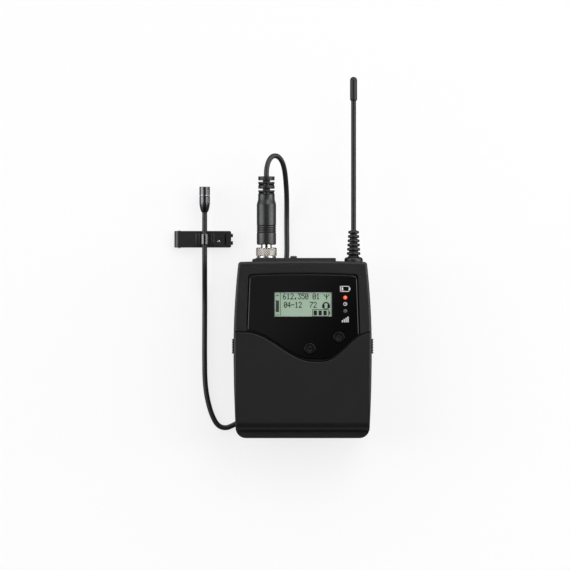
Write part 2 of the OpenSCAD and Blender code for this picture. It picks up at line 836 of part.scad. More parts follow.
module antenna_tip() {
    y0 = case_h + antenna_boot_len + antenna_rod_len;
    r = antenna_tip_r;
    dome = [for (a = [0 : 15 : 90]) [r * cos(a), y0 + antenna_tip_len - r + r * sin(a)]];
    color("#121314") in_case() turned_y(antenna_x, socket_z,
        concat([[0, y0], [antenna_rod_r + 0.1, y0], [r, y0 + 0.8]], dome));
}

module belt_clip() {
    y_end = -clip_len / 2;
    bend = clip_pivot[0] + barrel_r - clip_len / 2;
    half = clip_w / 2;
    plan = concat([[-half, 30]], corner(-half + 4, y_end + 4, 4, 180), corner(half - 4, y_end + 4, 4, 270), [[half, 30]]);
    barrel_half = half - clip_ear_w + 0.4;
    color("#8f9295") difference() {
        union() {
            intersection() {
                along_x(-half, half) {
                    polygon([[y_end, 0], [clip_len / 2 + 0.01, 0], [clip_len / 2 + 0.01, clip_t],
                        [y_end + 2, clip_t], [y_end, clip_t / 2]]);
                }
                linear_extrude(clip_t) polygon(plan);
            }
            along_x(-barrel_half, barrel_half) {
                difference() {
                    translate([clip_len / 2, bend]) circle(r = bend);
                    translate([clip_len / 2, bend]) circle(r = bend - clip_t);
                    translate([clip_len / 2 - 20, -1]) square([20, 40]);
                    translate([clip_len / 2 - 20, clip_pivot[1]]) square([60, 40]);
                }
                translate(clip_pivot) circle(r = barrel_r);
            }
        }
        rod_x(-clip_w, clip_w, clip_pivot[0], clip_pivot[1], clip_pin_r + pin_fit);
    }
}

module belt_clip_pin() {
    reach = clip_w / 2 + 0.7;
    color("#a5a8aa") rod_x(-reach, reach, clip_pivot[0], clip_pivot[1], clip_pin_r);
}

// ---- microphone and tie clip
mic_x = -44.7;
mic_y = 48.7;
mic_z = tie_h + 0.1 + cord_r;
mic_seam = mic_y + mic_len - mic_cap_len;

module mic_body() {
    color("#0f1011") turned_y(mic_x, mic_z, [[0, mic_y], [1.6, mic_y], [1.75, mic_y + 0.3],
        [mic_r - 0.2, mic_y + 2], [mic_r, mic_y + 2.6], [mic_r, mic_seam], [0, mic_seam]]);
}

module mic_cap() {
    y1 = mic_y + mic_len;
    color("#0b0c0d") difference() {
        turned_y(mic_x, mic_z, [[0, mic_seam], [mic_r - 0.15, mic_seam], [mic_r - 0.15, mic_seam + 0.3],
            [mic_r, mic_seam + 0.45], [mic_r, y1 - 0.3], [mic_r - 0.3, y1], [0, y1]]);
        // sound opening behind the mesh
        rod_y(mic_x, mic_z, y1 - 1.6, y1 + 1, mic_r - 0.9);
    }
}

module mic_mesh() {
    y1 = mic_y + mic_len;
    color("#3b3d3f") difference() {
        rod_y(mic_x, mic_z, y1 - 1.6, y1 - 0.4, mic_r - 0.95);
        for (x = [-1 : 1])
            for (z = [-1 : 1])
                rod_y(mic_x + x * 0.8, mic_z + z * 0.8, y1 - 1, y1 + 1, 0.2);
    }
}

tie_y = 36.4;
tie_right = -32.6;
tie_roll = tie_h / 2;
tie_pivot_x = tie_right - tie_len + tie_roll;
knuckle_r = tie_roll - tie_t - 0.2;

module tie_holder() {
    outer = cord_r + 0.1 + holder_wall;
    translate([mic_x, tie_y - holder_len / 2, mic_z]) rotate([-90, 0, 0]) difference() {
        union() {
            cylinder(h = holder_len, r = outer);
            translate([-outer, 0, 0]) cube([2 * outer, mic_z - tie_h + 0.3, holder_len]);
        }
        translate([0, 0, -1]) cylinder(h = holder_len + 2, r = cord_r + 0.1);
        translate([-cord_r - 0.1, 0, -1]) cube([cord_d + 0.2, mic_z - tie_h, holder_len + 2]);
        translate([-outer - 1, mic_z - tie_h, -1]) cube([2 * outer + 2, 3, holder_len + 2]);
    }
}

module tie_plate() {
    y0 = tie_y - tie_w / 2;
    flange = 0.7;
    right_corners = concat(corner(tie_right - 0.8, y0 + 0.8, 0.8, 270), corner(tie_right - 0.8, y0 + tie_w - 0.8, 0.8, 0));
    color("#17181a") difference() {
        union() {
            translate([0, 0, tie_h - tie_t]) linear_extrude(tie_t)
                polygon(concat([[tie_pivot_x, y0]], right_corners, [[tie_pivot_x, y0 + tie_w]]));
            // rolled end over the pin
            translate([tie_pivot_x, y0 + tie_w, tie_roll]) rotate([90, 0, 0]) linear_extrude(tie_w)
                difference() {
                    circle(r = tie_roll);
                    circle(r = tie_roll - tie_t);
                    translate([0, -5]) square([10, 10]);
                    translate([-10, -10]) square([20, 8.6]);
                }
            // side flanges that hold the pin
            for (y = [y0, y0 + tie_w - flange]) {
                translate([tie_pivot_x, y + flange, tie_roll]) rotate([90, 0, 0])
                    linear_extrude(flange) circle(r = tie_roll - tie_t / 2);
                translate([tie_pivot_x, y, 1.4]) cube([5, flange, tie_h - 2]);
                translate([tie_pivot_x, y, tie_h - tie_t - 0.6]) cube([tie_len - tie_roll - 1, flange, 1]);
            }
            tie_holder();
            for (x = [-4.2, -2.75, 2.8])
                translate([mic_x + x - 0.2, y0 + 1, tie_h - 0.1]) cube([0.4, tie_w - 2, 0.3]);
        }
        rod_y(tie_pivot_x, tie_roll, y0 - 1, y0 + tie_w + 1, tie_pin_r);
        translate([mic_x + 6.5, tie_y - 1.1, 0]) cylinder(h = 10, r = 0.4);
        translate([mic_x + 9.2, y0 + 1.4, tie_h - 0.3]) cube([0.5, tie_w - 2.8, 1]);
    }
}

module tie_jaw() {
    half = tie_w / 2 - 0.7 - 0.2;
    low_x = tie_pivot_x + 5;
    color("#151617") difference() {
        union() {
            rod_y(tie_pivot_x, tie_roll, tie_y - half, tie_y + half, knuckle_r);
            translate([0, tie_y + half, 0]) rotate([90, 0, 0]) linear_extrude(2 * half)
                polygon([[tie_pivot_x, tie_roll - knuckle_r], [low_x, 0], [tie_right + 0.8, 0],
                    [tie_right + 0.8, tie_h - 0.5], [tie_right + 0.3, tie_h - 0.5],
                    [tie_right - 0.3, tie_h - tie_t - 0.3], [tie_right - 1, 1.6], [tie_right - 1.6, tie_h - tie_t - 0.3],
                    [tie_right - 2.6, 0.8], [low_x, 0.8], [tie_pivot_x, tie_roll]]);
        }
        rod_y(tie_pivot_x, tie_roll, tie_y - 5, tie_y + 5, tie_pin_r + pin_fit);
        // two teeth stand past the plate, with a gap between them
        translate([tie_right - 0.2, tie_y - 0.9, -1]) cube([2, 1.9, 7]);
        for (s = sides_x)
            translate([tie_right - 0.2, tie_y + s * 2.8 - 0.3, -1]) cube([2, 0.6, 7]);
    }
}

module tie_pin() {
    color("#a5a8aa") rod_y(tie_pivot_x, tie_roll, tie_y - tie_w / 2 - 0.3, tie_y + tie_w / 2 + 0.3, tie_pin_r);
}

// ---- cord: one run from the plug to the microphone, with a flat two-layer coil
floor_z = 1.2;
coil_centre = [4, -33.2];
coil_rings = 24;
coil_steps = 11 * coil_rings - 2;
coil_turns = coil_steps / coil_rings;

plug_end = [jack_x, cord_y - clip_up, back_z + socket_z];
coil_start = [coil_centre.x - coil_r, coil_centre.y, floor_z];

// radius of the coil after t turns: in and out again at a steady rate, climbing in the half turn between
function coil_radius(t) = coil_r - coil_pitch * min(t, coil_turns - t);
function coil_rise(t) = coil_pitch * min(1, max(0, 0.5 + 2 * (t - coil_turns / 2)));
function coil_point(t) = let (a = 180 + 360 * t) [
    coil_centre.x + coil_radius(t) * cos(a),
    coil_centre.y + coil_radius(t) * sin(a),
    floor_z + coil_rise(t)];
coil_loop = [for (i = [0 : coil_steps]) coil_point(coil_turns * i / coil_steps)];
coil_out = let (a = 180 + 360 * coil_turns) [-sin(a), cos(a), 0];
coil_end = coil_loop[coil_steps] + coil_out * cord_d;
coil_route = concat([coil_start + [0, cord_d, 0]], coil_loop, [coil_end]);

top_route = concat([plug_end], [
    [-16.45, 66.5, 18.6], [-16.3, 68.5, 18.4], [-15.8, 70.8, 17.8], [-14.9, 72.8, 16.9],
    [-13.6, 74.1, 15.9], [-12, 74.3, 14.9], [-10.5, 73.4, 13.9], [-9.3, 71.6, 12.8],
    [-8.5, 69.2, 11.4], [-8, 66.4, 9.8], [-7.6, 62.4, 7.5], [-7.3, 57.5, 4.9],
    [-7.2, 52.5, 2.9], [-7.2, 47, 1.7], [-7.2, 41, 1.2], [-7.2, 28.5, 1.2],
    [-7.8, 25, 1.2], [-9.4, 21.6, 1.2], [-11.6, 18.6, 1.2], [-13.3, 15, 1.2],
    [-14.5, 10.5, 1.2], [-15.2, 3, 1.2], [-15.5, -5, 1.2]
], [coil_route[0]]);

mic_route = concat([coil_end], [
    [-15.3, -28.2, 3.9], [-17.6, -32.2, 3.8], [-20, -36.2, 3.1], [-22.6, -40.2, 2.1],
    [-25.2, -43.6, 1.4], [-28, -46.4, 1.2], [-30.5, -48, 1.2], [-32.5, -49, 1.2],
    [-34.4, -49.7, 1.2], [-36.4, -49.7, 1.2], [-38.2, -48.9, 1.2], [-39.6, -47.4, 1.2],
    [-40.8, -45.2, 1.2], [-42, -42.2, 1.2], [-43, -38.6, 1.2], [-43.8, -34.8, 1.2],
    [-44.4, -30, 1.2], [-44.7, -24, 1.2], [-44.7, 5, 1.2], [-44.7, 10, 1.6],
    [-44.7, 15, 2.8], [-44.7, 19.5, 4.2], [-44.7, 24, 5.3], [-44.7, 28, 5.65]
], [[mic_x, mic_y, mic_z]]);

function unit(v) = v / norm(v);
function heading(p, i) = i == 0 ? unit(p[1] - p[0])
    : i == len(p) - 1 ? unit(p[i] - p[i - 1])
    : unit(unit(p[i + 1] - p[i]) + unit(p[i] - p[i - 1]));
function ring(centre, t, r, sides) = let (side = unit(cross([0, 0, 1], t)), up = cross(t, side))
    [for (k = [0 : sides - 1]) let (a = 360 * (k + 0.5) / sides) centre + r * (cos(a) * side + sin(a) * up)];

module tube(route, sides) {
    loft([for (i = [0 : len(route) - 1]) ring(route[i], heading(route, i), cord_r, sides)]);
}

module cord_top_run() {
    color("#2b2c2d") tube(top_route, 8);
}

module cord_coil() {
    color("#2b2c2d") tube(coil_route, 6);
}

module cord_mic_run() {
    color("#2b2c2d") tube(mic_route, 8);
}

// least gap of the coil to itself, measured between points more than 3 diameters apart along it
function route_length(p) = len(p) < 2 ? 0 : sum_lengths(p, 1, 0);
function sum_lengths(p, i, total) = i == len(p) ? total : sum_lengths(p, i + 1, total + norm(p[i] - p[i - 1]));
least = min([for (i = [0 : coil_steps]) for (j = [i + 8 : 1 : coil_steps]) norm(coil_loop[i] - coil_loop[j])]);
echo(coil_gap = least - cord_d);
echo(cord_length = route_length(top_route) + route_length(coil_route) + route_length(mic_route));

rear_housing();
front_housing();
top_pad();
display_window();
lcd_panel();
inner_frame();
circuit_board();
status_lamp();
peak_lamp();
button_left();
button_right();
battery_cover();
hinge_pins();
latch_left();
latch_right();
battery_cells();
battery_contacts();
charging_contacts();
case_screws();
mute_switch();
jack_socket();
lock_nut();
plug_contact();
plug_body();
plug_boot();
antenna_boot();
antenna_rod();
antenna_tip();
belt_clip();
belt_clip_pin();
mic_body();
mic_cap();
mic_mesh();
tie_plate();
tie_jaw();
tie_pin();
cord_top_run();
cord_coil();
cord_mic_run();
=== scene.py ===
# %% [markdown]
# A lavalier microphone with its bodypack transmitter, tie clip and cord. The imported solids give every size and
# place. This lesson dresses them: softened edges, turned and knurled pieces, a dot-matrix display, real finishes.

# %% Load the solids
import bpy, bmesh, json, math
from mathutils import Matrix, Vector

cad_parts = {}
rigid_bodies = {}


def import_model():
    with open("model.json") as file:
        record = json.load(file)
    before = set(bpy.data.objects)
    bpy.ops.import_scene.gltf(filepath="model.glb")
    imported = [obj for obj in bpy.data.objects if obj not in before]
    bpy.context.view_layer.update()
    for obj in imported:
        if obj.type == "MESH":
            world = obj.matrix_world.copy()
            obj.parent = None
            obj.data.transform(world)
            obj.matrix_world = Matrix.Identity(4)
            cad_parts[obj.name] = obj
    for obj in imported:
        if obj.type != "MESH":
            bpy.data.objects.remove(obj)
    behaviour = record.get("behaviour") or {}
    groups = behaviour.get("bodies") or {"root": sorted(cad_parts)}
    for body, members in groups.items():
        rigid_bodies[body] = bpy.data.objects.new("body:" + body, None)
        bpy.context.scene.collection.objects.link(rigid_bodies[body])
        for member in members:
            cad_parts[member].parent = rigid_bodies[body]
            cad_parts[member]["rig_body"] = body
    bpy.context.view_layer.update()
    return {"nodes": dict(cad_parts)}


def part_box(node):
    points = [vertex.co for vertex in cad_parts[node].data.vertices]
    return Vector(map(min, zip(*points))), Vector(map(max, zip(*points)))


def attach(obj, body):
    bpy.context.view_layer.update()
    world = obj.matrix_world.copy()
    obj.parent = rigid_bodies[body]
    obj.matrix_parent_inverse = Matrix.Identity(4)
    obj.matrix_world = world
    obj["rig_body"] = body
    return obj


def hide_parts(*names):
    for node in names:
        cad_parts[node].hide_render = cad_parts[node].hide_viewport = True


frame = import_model()
bpy.ops.object.select_all(action="DESELECT")
MM = 0.001

# %% [markdown]
# The camera looks straight down on a flat pale floor. A very long lens keeps things near the floor and things
# near the lens the same size. The view is 259 mm wide, and its middle lies a little left of the pack.

# %% Camera
VIEW_W = 0.259
VIEW_MIDDLE = Vector((-0.008, 0.0155, 0.022))
CAMERA_UP = 3.0
SENSOR_W = 36
bpy.ops.object.camera_add(location=VIEW_MIDDLE + Vector((0, 0, CAMERA_UP)), rotation=(0, 0, 0))
camera = bpy.context.object
camera.data.sensor_width = SENSOR_W
camera.data.lens = SENSOR_W * CAMERA_UP / VIEW_W
camera.data.clip_end = 50
bpy.context.scene.camera = camera
bpy.context.scene.view_settings.view_transform = "Standard"
print("lens in mm:", round(camera.data.lens))

# %% [markdown]
# Every shader is a tree of nodes. One helper adds a node, sets it and links it, so that a tree reads as a list of
# its nodes. Colours are written in hex, as on a colour chart, and one function makes them linear, as light needs.

# %% Node helper and colours
def add_node(tree, kind, inputs=None, **settings):
    """Adds one node. An input is a value, or another node's output that is linked to it."""
    made = tree.nodes.new(kind)
    for name, value in settings.items():
        setattr(made, name, value)
    for name, value in (inputs or {}).items():
        socket = made.inputs[name]
        if isinstance(value, bpy.types.NodeSocket):
            tree.links.new(value, socket)
        else:
            socket.default_value = value
    return made


def srgb(text):
    """A hex sRGB colour as the linear colour that the shaders need."""
    parts = [int(text[i:i + 2], 16) / 255 for i in (1, 3, 5)]
    return tuple(c / 12.92 if c <= 0.04045 else ((c + 0.055) / 1.055) ** 2.4 for c in parts) + (1,)


# %% [markdown]
# The sky is bright in a band between the horizon and the middle height, as in a tent of white cloth with an open
# top, and dim towards the object's foot. Flat dark faces stay dark, and round ones catch a streak on each side.
# Each ramp is an axis of the view direction, where it starts and ends there, and its strength at both. The three
# are multiplied, and the camera itself sees plain white.

# %% Sky
SKY_GLOW = 2.0
OPEN_TOP = ("Z", 0.42, 0.84, 1.0, 0.05)
HORIZON = ("Z", 0.0, 0.24, 0.3, 1.0)
FOOT_SIDE = ("Y", -0.6, 0.3, 0.05, 1.0)
world = bpy.data.worlds.new("studio_sky")
bpy.context.scene.world = world
world.use_nodes = True
sky = world.node_tree
sky.nodes.clear()
direction = add_node(sky, "ShaderNodeTexCoord")
axes = add_node(sky, "ShaderNodeSeparateXYZ", {0: direction.outputs["Generated"]})
glow = SKY_GLOW
for axis, start, end, first, last in (OPEN_TOP, HORIZON, FOOT_SIDE):
    ramp = add_node(sky, "ShaderNodeMapRange", {"Value": axes.outputs[axis], "From Min": start, "From Max": end,
                                                "To Min": first, "To Max": last}, interpolation_type="SMOOTHSTEP")
    glow = add_node(sky, "ShaderNodeMath", {0: ramp.outputs[0], 1: glow}, operation="MULTIPLY").outputs[0]
rays = add_node(sky, "ShaderNodeLightPath")
seen = add_node(sky, "ShaderNodeMix", {0: rays.outputs["Is Camera Ray"], 2: glow, 3: 1.0})
background = add_node(sky, "ShaderNodeBackground", {"Color": (1, 1, 1, 1), "Strength": seen.outputs[0]})
add_node(sky, "ShaderNodeOutputWorld", {"Surface": background.outputs[0]})
print("sky nodes:", len(sky.nodes))

# %% [markdown]
# Two long lamps near the floor sharpen the streaks, a soft key adds shape, and a weak lamp opens up the foot. The
# floor is a wide flat sheet at z = 0.

# %% Lamps and floor
LAMP_TARGET = Vector((0, 0, 0.015))


def soft_lamp(name, place, size, power):
    """A rectangular soft lamp that faces the middle of the object."""
    bpy.ops.object.light_add(type="AREA", location=place)
    lamp = bpy.context.object
    lamp.name = name
    lamp.data.shape = "RECTANGLE"
    lamp.data.size, lamp.data.size_y = size
    lamp.data.energy = power
    lamp.rotation_euler = (LAMP_TARGET - Vector(place)).to_track_quat("-Z", "Y").to_euler()
    print(name, power, "W")


soft_lamp("left_strip", (-1.15, 0.1, 0.62), (0.3, 1.6), 6)
soft_lamp("right_strip", (1.15, 0.1, 0.62), (0.3, 1.6), 7)
soft_lamp("key", (0.55, 0.9, 1.3), (0.9, 0.9), 9)
soft_lamp("foot_fill", (0.1, -1.5, 0.16), (1.1, 0.2), 0.8)

bpy.ops.mesh.primitive_plane_add(size=14, location=(0, 0, 0))
floor = bpy.context.object
floor.name = "floor"

# %% [markdown]
# The cord is one limp jacketed cable, 2.3 mm thick and 1.09 m long. It leaves the microphone's foot, passes
# through the tie clip's holder, runs behind the pack into a flat two-layer coil and comes up at the top to the
# plug. Its points repeat the route of the solids, so the curve lies where they are.

# %% Cord route
CORD_D = 2.3
FLOOR_Z = 1.2
COIL_MIDDLE = (4, -33.2)
COIL_R = 19.5
COIL_PITCH = 2.72
TURN_STEPS = 24
COIL_STEPS = 11 * TURN_STEPS - 2
coil_turns = COIL_STEPS / TURN_STEPS


def coil_point(turn):
    """A point of the coil, which winds in on the floor, climbs half a turn and winds out again."""
    angle = math.radians(180 + 360 * turn)
    radius = COIL_R - COIL_PITCH * min(turn, coil_turns - turn)
    climb = COIL_PITCH * min(1, max(0, 0.5 + 2 * (turn - coil_turns / 2)))
    return (COIL_MIDDLE[0] + radius * math.cos(angle), COIL_MIDDLE[1] + radius * math.sin(angle), FLOOR_Z + climb)


coil = [coil_point(coil_turns * i / COIL_STEPS) for i in range(COIL_STEPS + 1)]
coil_start = (coil[0][0], coil[0][1] + CORD_D, coil[0][2])
end_angle = math.radians(180 + 360 * coil_turns)
coil_end = (coil[-1][0] - CORD_D * math.sin(end_angle), coil[-1][1] + CORD_D * math.cos(end_angle), coil[-1][2])
plug_end = (-16.45, 64.9, 18.6)
mic_foot = (-44.7, 48.7, 5.65)
from_plug = [
    plug_end, (-16.45, 66.5, 18.6), (-16.3, 68.5, 18.4), (-15.8, 70.8, 17.8), (-14.9, 72.8, 16.9),
    (-13.6, 74.1, 15.9), (-12, 74.3, 14.9), (-10.5, 73.4, 13.9), (-9.3, 71.6, 12.8), (-8.5, 69.2, 11.4),
    (-8, 66.4, 9.8), (-7.6, 62.4, 7.5), (-7.3, 57.5, 4.9), (-7.2, 52.5, 2.9), (-7.2, 47, 1.7),
    (-7.2, 41, 1.2), (-7.2, 28.5, 1.2), (-7.8, 25, 1.2), (-9.4, 21.6, 1.2), (-11.6, 18.6, 1.2),
    (-13.3, 15, 1.2), (-14.5, 10.5, 1.2), (-15.2, 3, 1.2), (-15.5, -5, 1.2)]
to_mic = [
    (-15.3, -28.2, 3.9), (-17.6, -32.2, 3.8), (-20, -36.2, 3.1), (-22.6, -40.2, 2.1), (-25.2, -43.6, 1.4),
    (-28, -46.4, 1.2), (-30.5, -48, 1.2), (-32.5, -49, 1.2), (-34.4, -49.7, 1.2), (-36.4, -49.7, 1.2),
    (-38.2, -48.9, 1.2), (-39.6, -47.4, 1.2), (-40.8, -45.2, 1.2), (-42, -42.2, 1.2), (-43, -38.6, 1.2),
    (-43.8, -34.8, 1.2), (-44.4, -30, 1.2), (-44.7, -24, 1.2), (-44.7, 5, 1.2), (-44.7, 10, 1.6),
    (-44.7, 15, 2.8), (-44.7, 19.5, 4.2), (-44.7, 24, 5.3), (-44.7, 28, 5.65), mic_foot]


def bend_through(points, parts):
    """More points, on a smooth line that passes through these ones."""
    points = [Vector(p) for p in points]
    line = [2 * points[0] - points[1]] + points + [2 * points[-1] - points[-2]]
    smooth = []
    for a, b, c, d in zip(line, line[1:], line[2:], line[3:]):
        t1 = (b - a).length ** 0.5
        t2 = t1 + (c - b).length ** 0.5
        t3 = t2 + (d - c).length ** 0.5
        for i in range(parts):
            t = t1 + (t2 - t1) * i / parts
            ab, bc, cd = a.lerp(b, t / t1), b.lerp(c, (t - t1) / (t2 - t1)), c.lerp(d, (t - t2) / (t3 - t2))
            abc, bcd = ab.lerp(bc, t / t2), bc.lerp(cd, (t - t1) / (t3 - t1))
            x, y, z = abc.lerp(bcd, (t - t1) / (t2 - t1))
            smooth.append((x, y, max(z, FLOOR_Z)))
    return smooth + [tuple(points[-1])]


route = bend_through(list(reversed(from_plug + [coil_start] + coil + [coil_end] + to_mic)), 3)
print("cord points:", len(route))

# %% [markdown]
# The jacket is a curve with a round section. A poly spline keeps exactly to its points, and the curve stays live,
# because a cord is measured along its curve. Its radius sits in the points, so that the bevel is simply 1.

# %% Cord curve
line = bpy.data.curves.new("cord_jacket", "CURVE")
line.dimensions = "3D"
line.bevel_depth = 1.0
line.bevel_resolution = 4
line.use_fill_caps = True
spline = line.splines.new("POLY")
spline.points.add(len(route) - 1)
for point, place in zip(spline.points, route):
    point.co = (place[0] * MM, place[1] * MM, place[2] * MM, 1)
    point.radius = CORD_D / 2 * MM
spline.use_smooth = True
cord = bpy.data.objects.new("cord_jacket", line)
bpy.context.collection.objects.link(cord)
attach(cord, "pack")
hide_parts("cord_top_run", "cord_coil", "cord_mic_run")

# %% [markdown]
# Every finish starts from what the real part is made of. Patterns read Object coordinates in metres, so a grain
# size in millimetres becomes a scale of 1000 / size. Real paint and moulding grain is 0.05 to 0.2 mm and real
# turning marks are 0.02 to 0.1 mm apart, which is too fine to show: both are drawn two to five times as coarse.

# %% Starting a finish
GRAIN_FROM, GRAIN_TO = 0.3, 0.7


def cells(size_mm):
    """The pattern scale that gives cells of this size in millimetres."""
    return 1000 / size_mm


def start_finish(name, color, roughness, metallic=0.0, **more):
    """A material with its shader set, and the parts that its pattern nodes link to."""
    finish = bpy.data.materials.new(name)
    finish.use_nodes = True
    tree = finish.node_tree
    tree.nodes.clear()
    place = add_node(tree, "ShaderNodeTexCoord").outputs["Object"]
    values = {"Base Color": srgb(color), "Roughness": roughness, "Metallic": metallic, **more}
    shader = add_node(tree, "ShaderNodeBsdfPrincipled", values)
    add_node(tree, "ShaderNodeOutputMaterial", {"Surface": shader.outputs[0]})
    return finish, tree, place, shader


def two_tones(tree, share, first, last):
    """A colour that goes from the first tone to the last as a share goes from 0 to 1."""
    return add_node(tree, "ShaderNodeMix", {0: share, 6: srgb(first), 7: srgb(last)}, data_type="RGBA").outputs[2]


def roughen(tree, shader, pattern, low, high, depth_mm):
    """Lets a pattern vary the roughness from low to high and lift the surface by a depth."""
    gloss = add_node(tree, "ShaderNodeMapRange", {"Value": pattern.outputs["Fac"], "From Min": GRAIN_FROM,
                                                  "From Max": GRAIN_TO, "To Min": low, "To Max": high})
    tree.links.new(gloss.outputs["Result"], shader.inputs["Roughness"])
    lift = add_node(tree, "ShaderNodeBump", {"Height": pattern.outputs["Fac"], "Distance": depth_mm * MM})
    tree.links.new(lift.outputs["Normal"], shader.inputs["Normal"])


def grained(name, color, roughness, grain_mm, depth_mm, gloss, tones, patch_mm=9, metallic=0.0, **more):
    """A finish with fine grain, whose shade drifts between its light and its dark tone from patch to patch."""
    finish, tree, place, shader = start_finish(name, color, roughness, metallic, **more)
    light, dark = tones
    fine = add_node(tree, "ShaderNodeTexNoise", {"Vector": place, "Scale": cells(grain_mm), "Detail": 3.0})
    wide = add_node(tree, "ShaderNodeTexNoise", {"Vector": place, "Scale": cells(patch_mm), "Detail": 2.0})
    roughen(tree, shader, fine, *gloss, depth_mm)
    tree.links.new(two_tones(tree, wide.outputs["Fac"], dark, light), shader.inputs["Base Color"])
    return finish


def streaked(name, color, roughness, along, across_mm, length_mm, depth_mm, gloss, metallic=1.0, **more):
    """A finish with fine lines along one axis, as brushing leaves them, or round Y if along X and Z, as turned."""
    finish, tree, place, shader = start_finish(name, color, roughness, metallic, **more)
    stretch = [cells(length_mm if letter in along else across_mm) for letter in "XYZ"]
    lines = add_node(tree, "ShaderNodeMapping", {"Vector": place, "Scale": stretch})
    noise = add_node(tree, "ShaderNodeTexNoise", {"Vector": lines.outputs[0], "Scale": 1.0, "Detail": 2.0})
    roughen(tree, shader, noise, *gloss, depth_mm)
    return finish


# %% [markdown]
# The case is die-cast metal under sprayed satin paint, whose fine texture breaks up highlights. The rear tub, the
# latches and the pad are moulded plastic, a shade duller. The colours drift a little from patch to patch.

# %% Case finishes
# Sprayed satin paint on die-cast metal: near black, with a broad soft sheen and a fine sandy grain.
satin_paint = grained("satin_black_paint", "#1a1a1b", 0.46, 0.7, 0.06, (0.38, 0.52), ("#19191a", "#131314"), IOR=1.45)

# The same paint on the cover, rubbed smoother by hands: a shade deeper, with less grain.
cover_paint = grained("satin_black_cover_paint", "#131314", 0.44, 0.6, 0.03, (0.38, 0.5), ("#141415", "#0f0f10"),
                      IOR=1.45)

# Moulded ABS with an eroded mould texture: dull and even.
moulded_plastic = grained("moulded_black_plastic", "#18191a", 0.55, 0.6, 0.03, (0.46, 0.62), ("#1b1c1d", "#151617"),
                          IOR=1.5)

# Moulded nylon on the parts that fingers touch: a little glossier than the tub.
latch_plastic = grained("latch_plastic", "#141516", 0.5, 0.5, 0.02, (0.4, 0.56), ("#171819", "#121314"), IOR=1.5)
print("case finishes:", [finish.name for finish in (satin_paint, cover_paint, moulded_plastic, latch_plastic)])

# %% [markdown]
# The window is polished acrylic, printed black from behind. Its colour is painted a little lighter at the upper
# left, as a painted reflection. The shade follows two Object axes and no camera.

# %% Window finish
REFLECTION_SLOPE = (-12, 9, 0)
REFLECTION_FROM, REFLECTION_TO = -0.30, 0.26
# Polished acrylic: deep black with sharp reflections, and a faint haze that keeps them from being perfect.
window_acrylic, tree, place, shader = start_finish("window_acrylic", "#0c0d0e", 0.07, IOR=1.49)
# Painted reflection: the colour grows lighter towards the upper left, along a slope in Object axes.
slope = add_node(tree, "ShaderNodeVectorMath", {0: place, 1: REFLECTION_SLOPE}, operation="DOT_PRODUCT")
painted_reflection = add_node(tree, "ShaderNodeMapRange", {"Value": slope.outputs["Value"], "From Min": REFLECTION_FROM,
                                                "From Max": REFLECTION_TO}, interpolation_type="SMOOTHSTEP")
tree.links.new(two_tones(tree, painted_reflection.outputs["Result"], "#030303", "#161617"), shader.inputs["Base Color"])
haze = add_node(tree, "ShaderNodeTexNoise", {"Vector": place, "Scale": cells(7), "Detail": 2.0})
gloss = add_node(tree, "ShaderNodeMapRange", {"Value": haze.outputs["Fac"], "To Min": 0.05, "To Max": 0.11})
tree.links.new(gloss.outputs["Result"], shader.inputs["Roughness"])
print("window nodes:", len(tree.nodes))

# %% [markdown]
# A liquid crystal display is a grey-green film under glass, crossed by the fine gaps between its dots. Its dark
# dots are in the film, so they are dull and soft. The signs on the window are white ink from a printing pad.

# %% Display finishes
DOT_X, DOT_Y = 0.28, 0.385
# Display film: pale grey-green, with a lighter line between the dots.
display_film, tree, place, shader = start_finish("display_film", "#9bb29e", 0.25, IOR=1.5)
dots = add_node(tree, "ShaderNodeMapping", {"Vector": place, "Scale": (cells(DOT_X), cells(DOT_Y), 1)})
checks = add_node(tree, "ShaderNodeTexBrick", {
    "Vector": dots.outputs[0], "Color1": srgb("#9db4a0"), "Color2": srgb("#99b09c"), "Mortar": srgb("#a6bca8"),
    "Scale": 1.0, "Mortar Size": 0.08, "Brick Width": 1.0, "Row Height": 1.0}, offset=0.0)
tree.links.new(checks.outputs["Color"], shader.inputs["Base Color"])

# Dots that are switched on: greenish black and dull.
display_ink = grained("display_ink", "#0a150f", 0.5, 0.3, 0.002, (0.45, 0.6), ("#0c1811", "#08110c"), 3, IOR=1.35)

# Pad-printed ink: off-white and slightly satin.
label_ink = grained("white_label_ink", "#dcdcda", 0.5, 0.2, 0.004, (0.42, 0.6), ("#e2e2e0", "#cfcfcd"), 2)
print("display dots in mm:", DOT_X, DOT_Y)

# %% [markdown]
# The lit lamp is a red lens over a bright chip: hot in the middle and deep red at its rim, by the distance from
# the lamp's middle in millimetres. The other lamp is off and shows its grey lens.

# %% Lamp finishes
HOT_R, RIM_R = 0.2, 0.9
lamp_low, lamp_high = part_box("status_lamp")
lamp_middle = (lamp_low + lamp_high) / 2
# Moulded red lens, lit from below: it glows by itself and is brightest in the middle.
lit_lens, tree, place, shader = start_finish("lit_red_lens", "#e0301a", 0.3)
away = add_node(tree, "ShaderNodeVectorMath", {0: place, 1: (lamp_middle.x, lamp_middle.y, 0)}, operation="SUBTRACT")
flat = add_node(tree, "ShaderNodeVectorMath", {0: away.outputs[0], 1: (1, 1, 0)}, operation="MULTIPLY")
far = add_node(tree, "ShaderNodeVectorMath", {0: flat.outputs[0]}, operation="LENGTH")
rim = add_node(tree, "ShaderNodeMapRange", {"Value": far.outputs["Value"], "From Min": HOT_R * MM,
                                            "From Max": RIM_R * MM})
hot_red = two_tones(tree, rim.outputs["Result"], "#ff7a50", "#a81204")
tree.links.new(hot_red, shader.inputs["Emission Color"])
tree.links.new(hot_red, shader.inputs["Base Color"])
shader.inputs["Emission Strength"].default_value = 1.1

# Moulded grey lens, not lit: smooth, with a soft highlight.
grey_lens = grained("grey_lens", "#55585a", 0.25, 0.5, 0.002, (0.2, 0.3), ("#5c5f61", "#4c4f51"), 2)
print("lit lamp at mm:", [round(v / MM, 1) for v in lamp_middle])

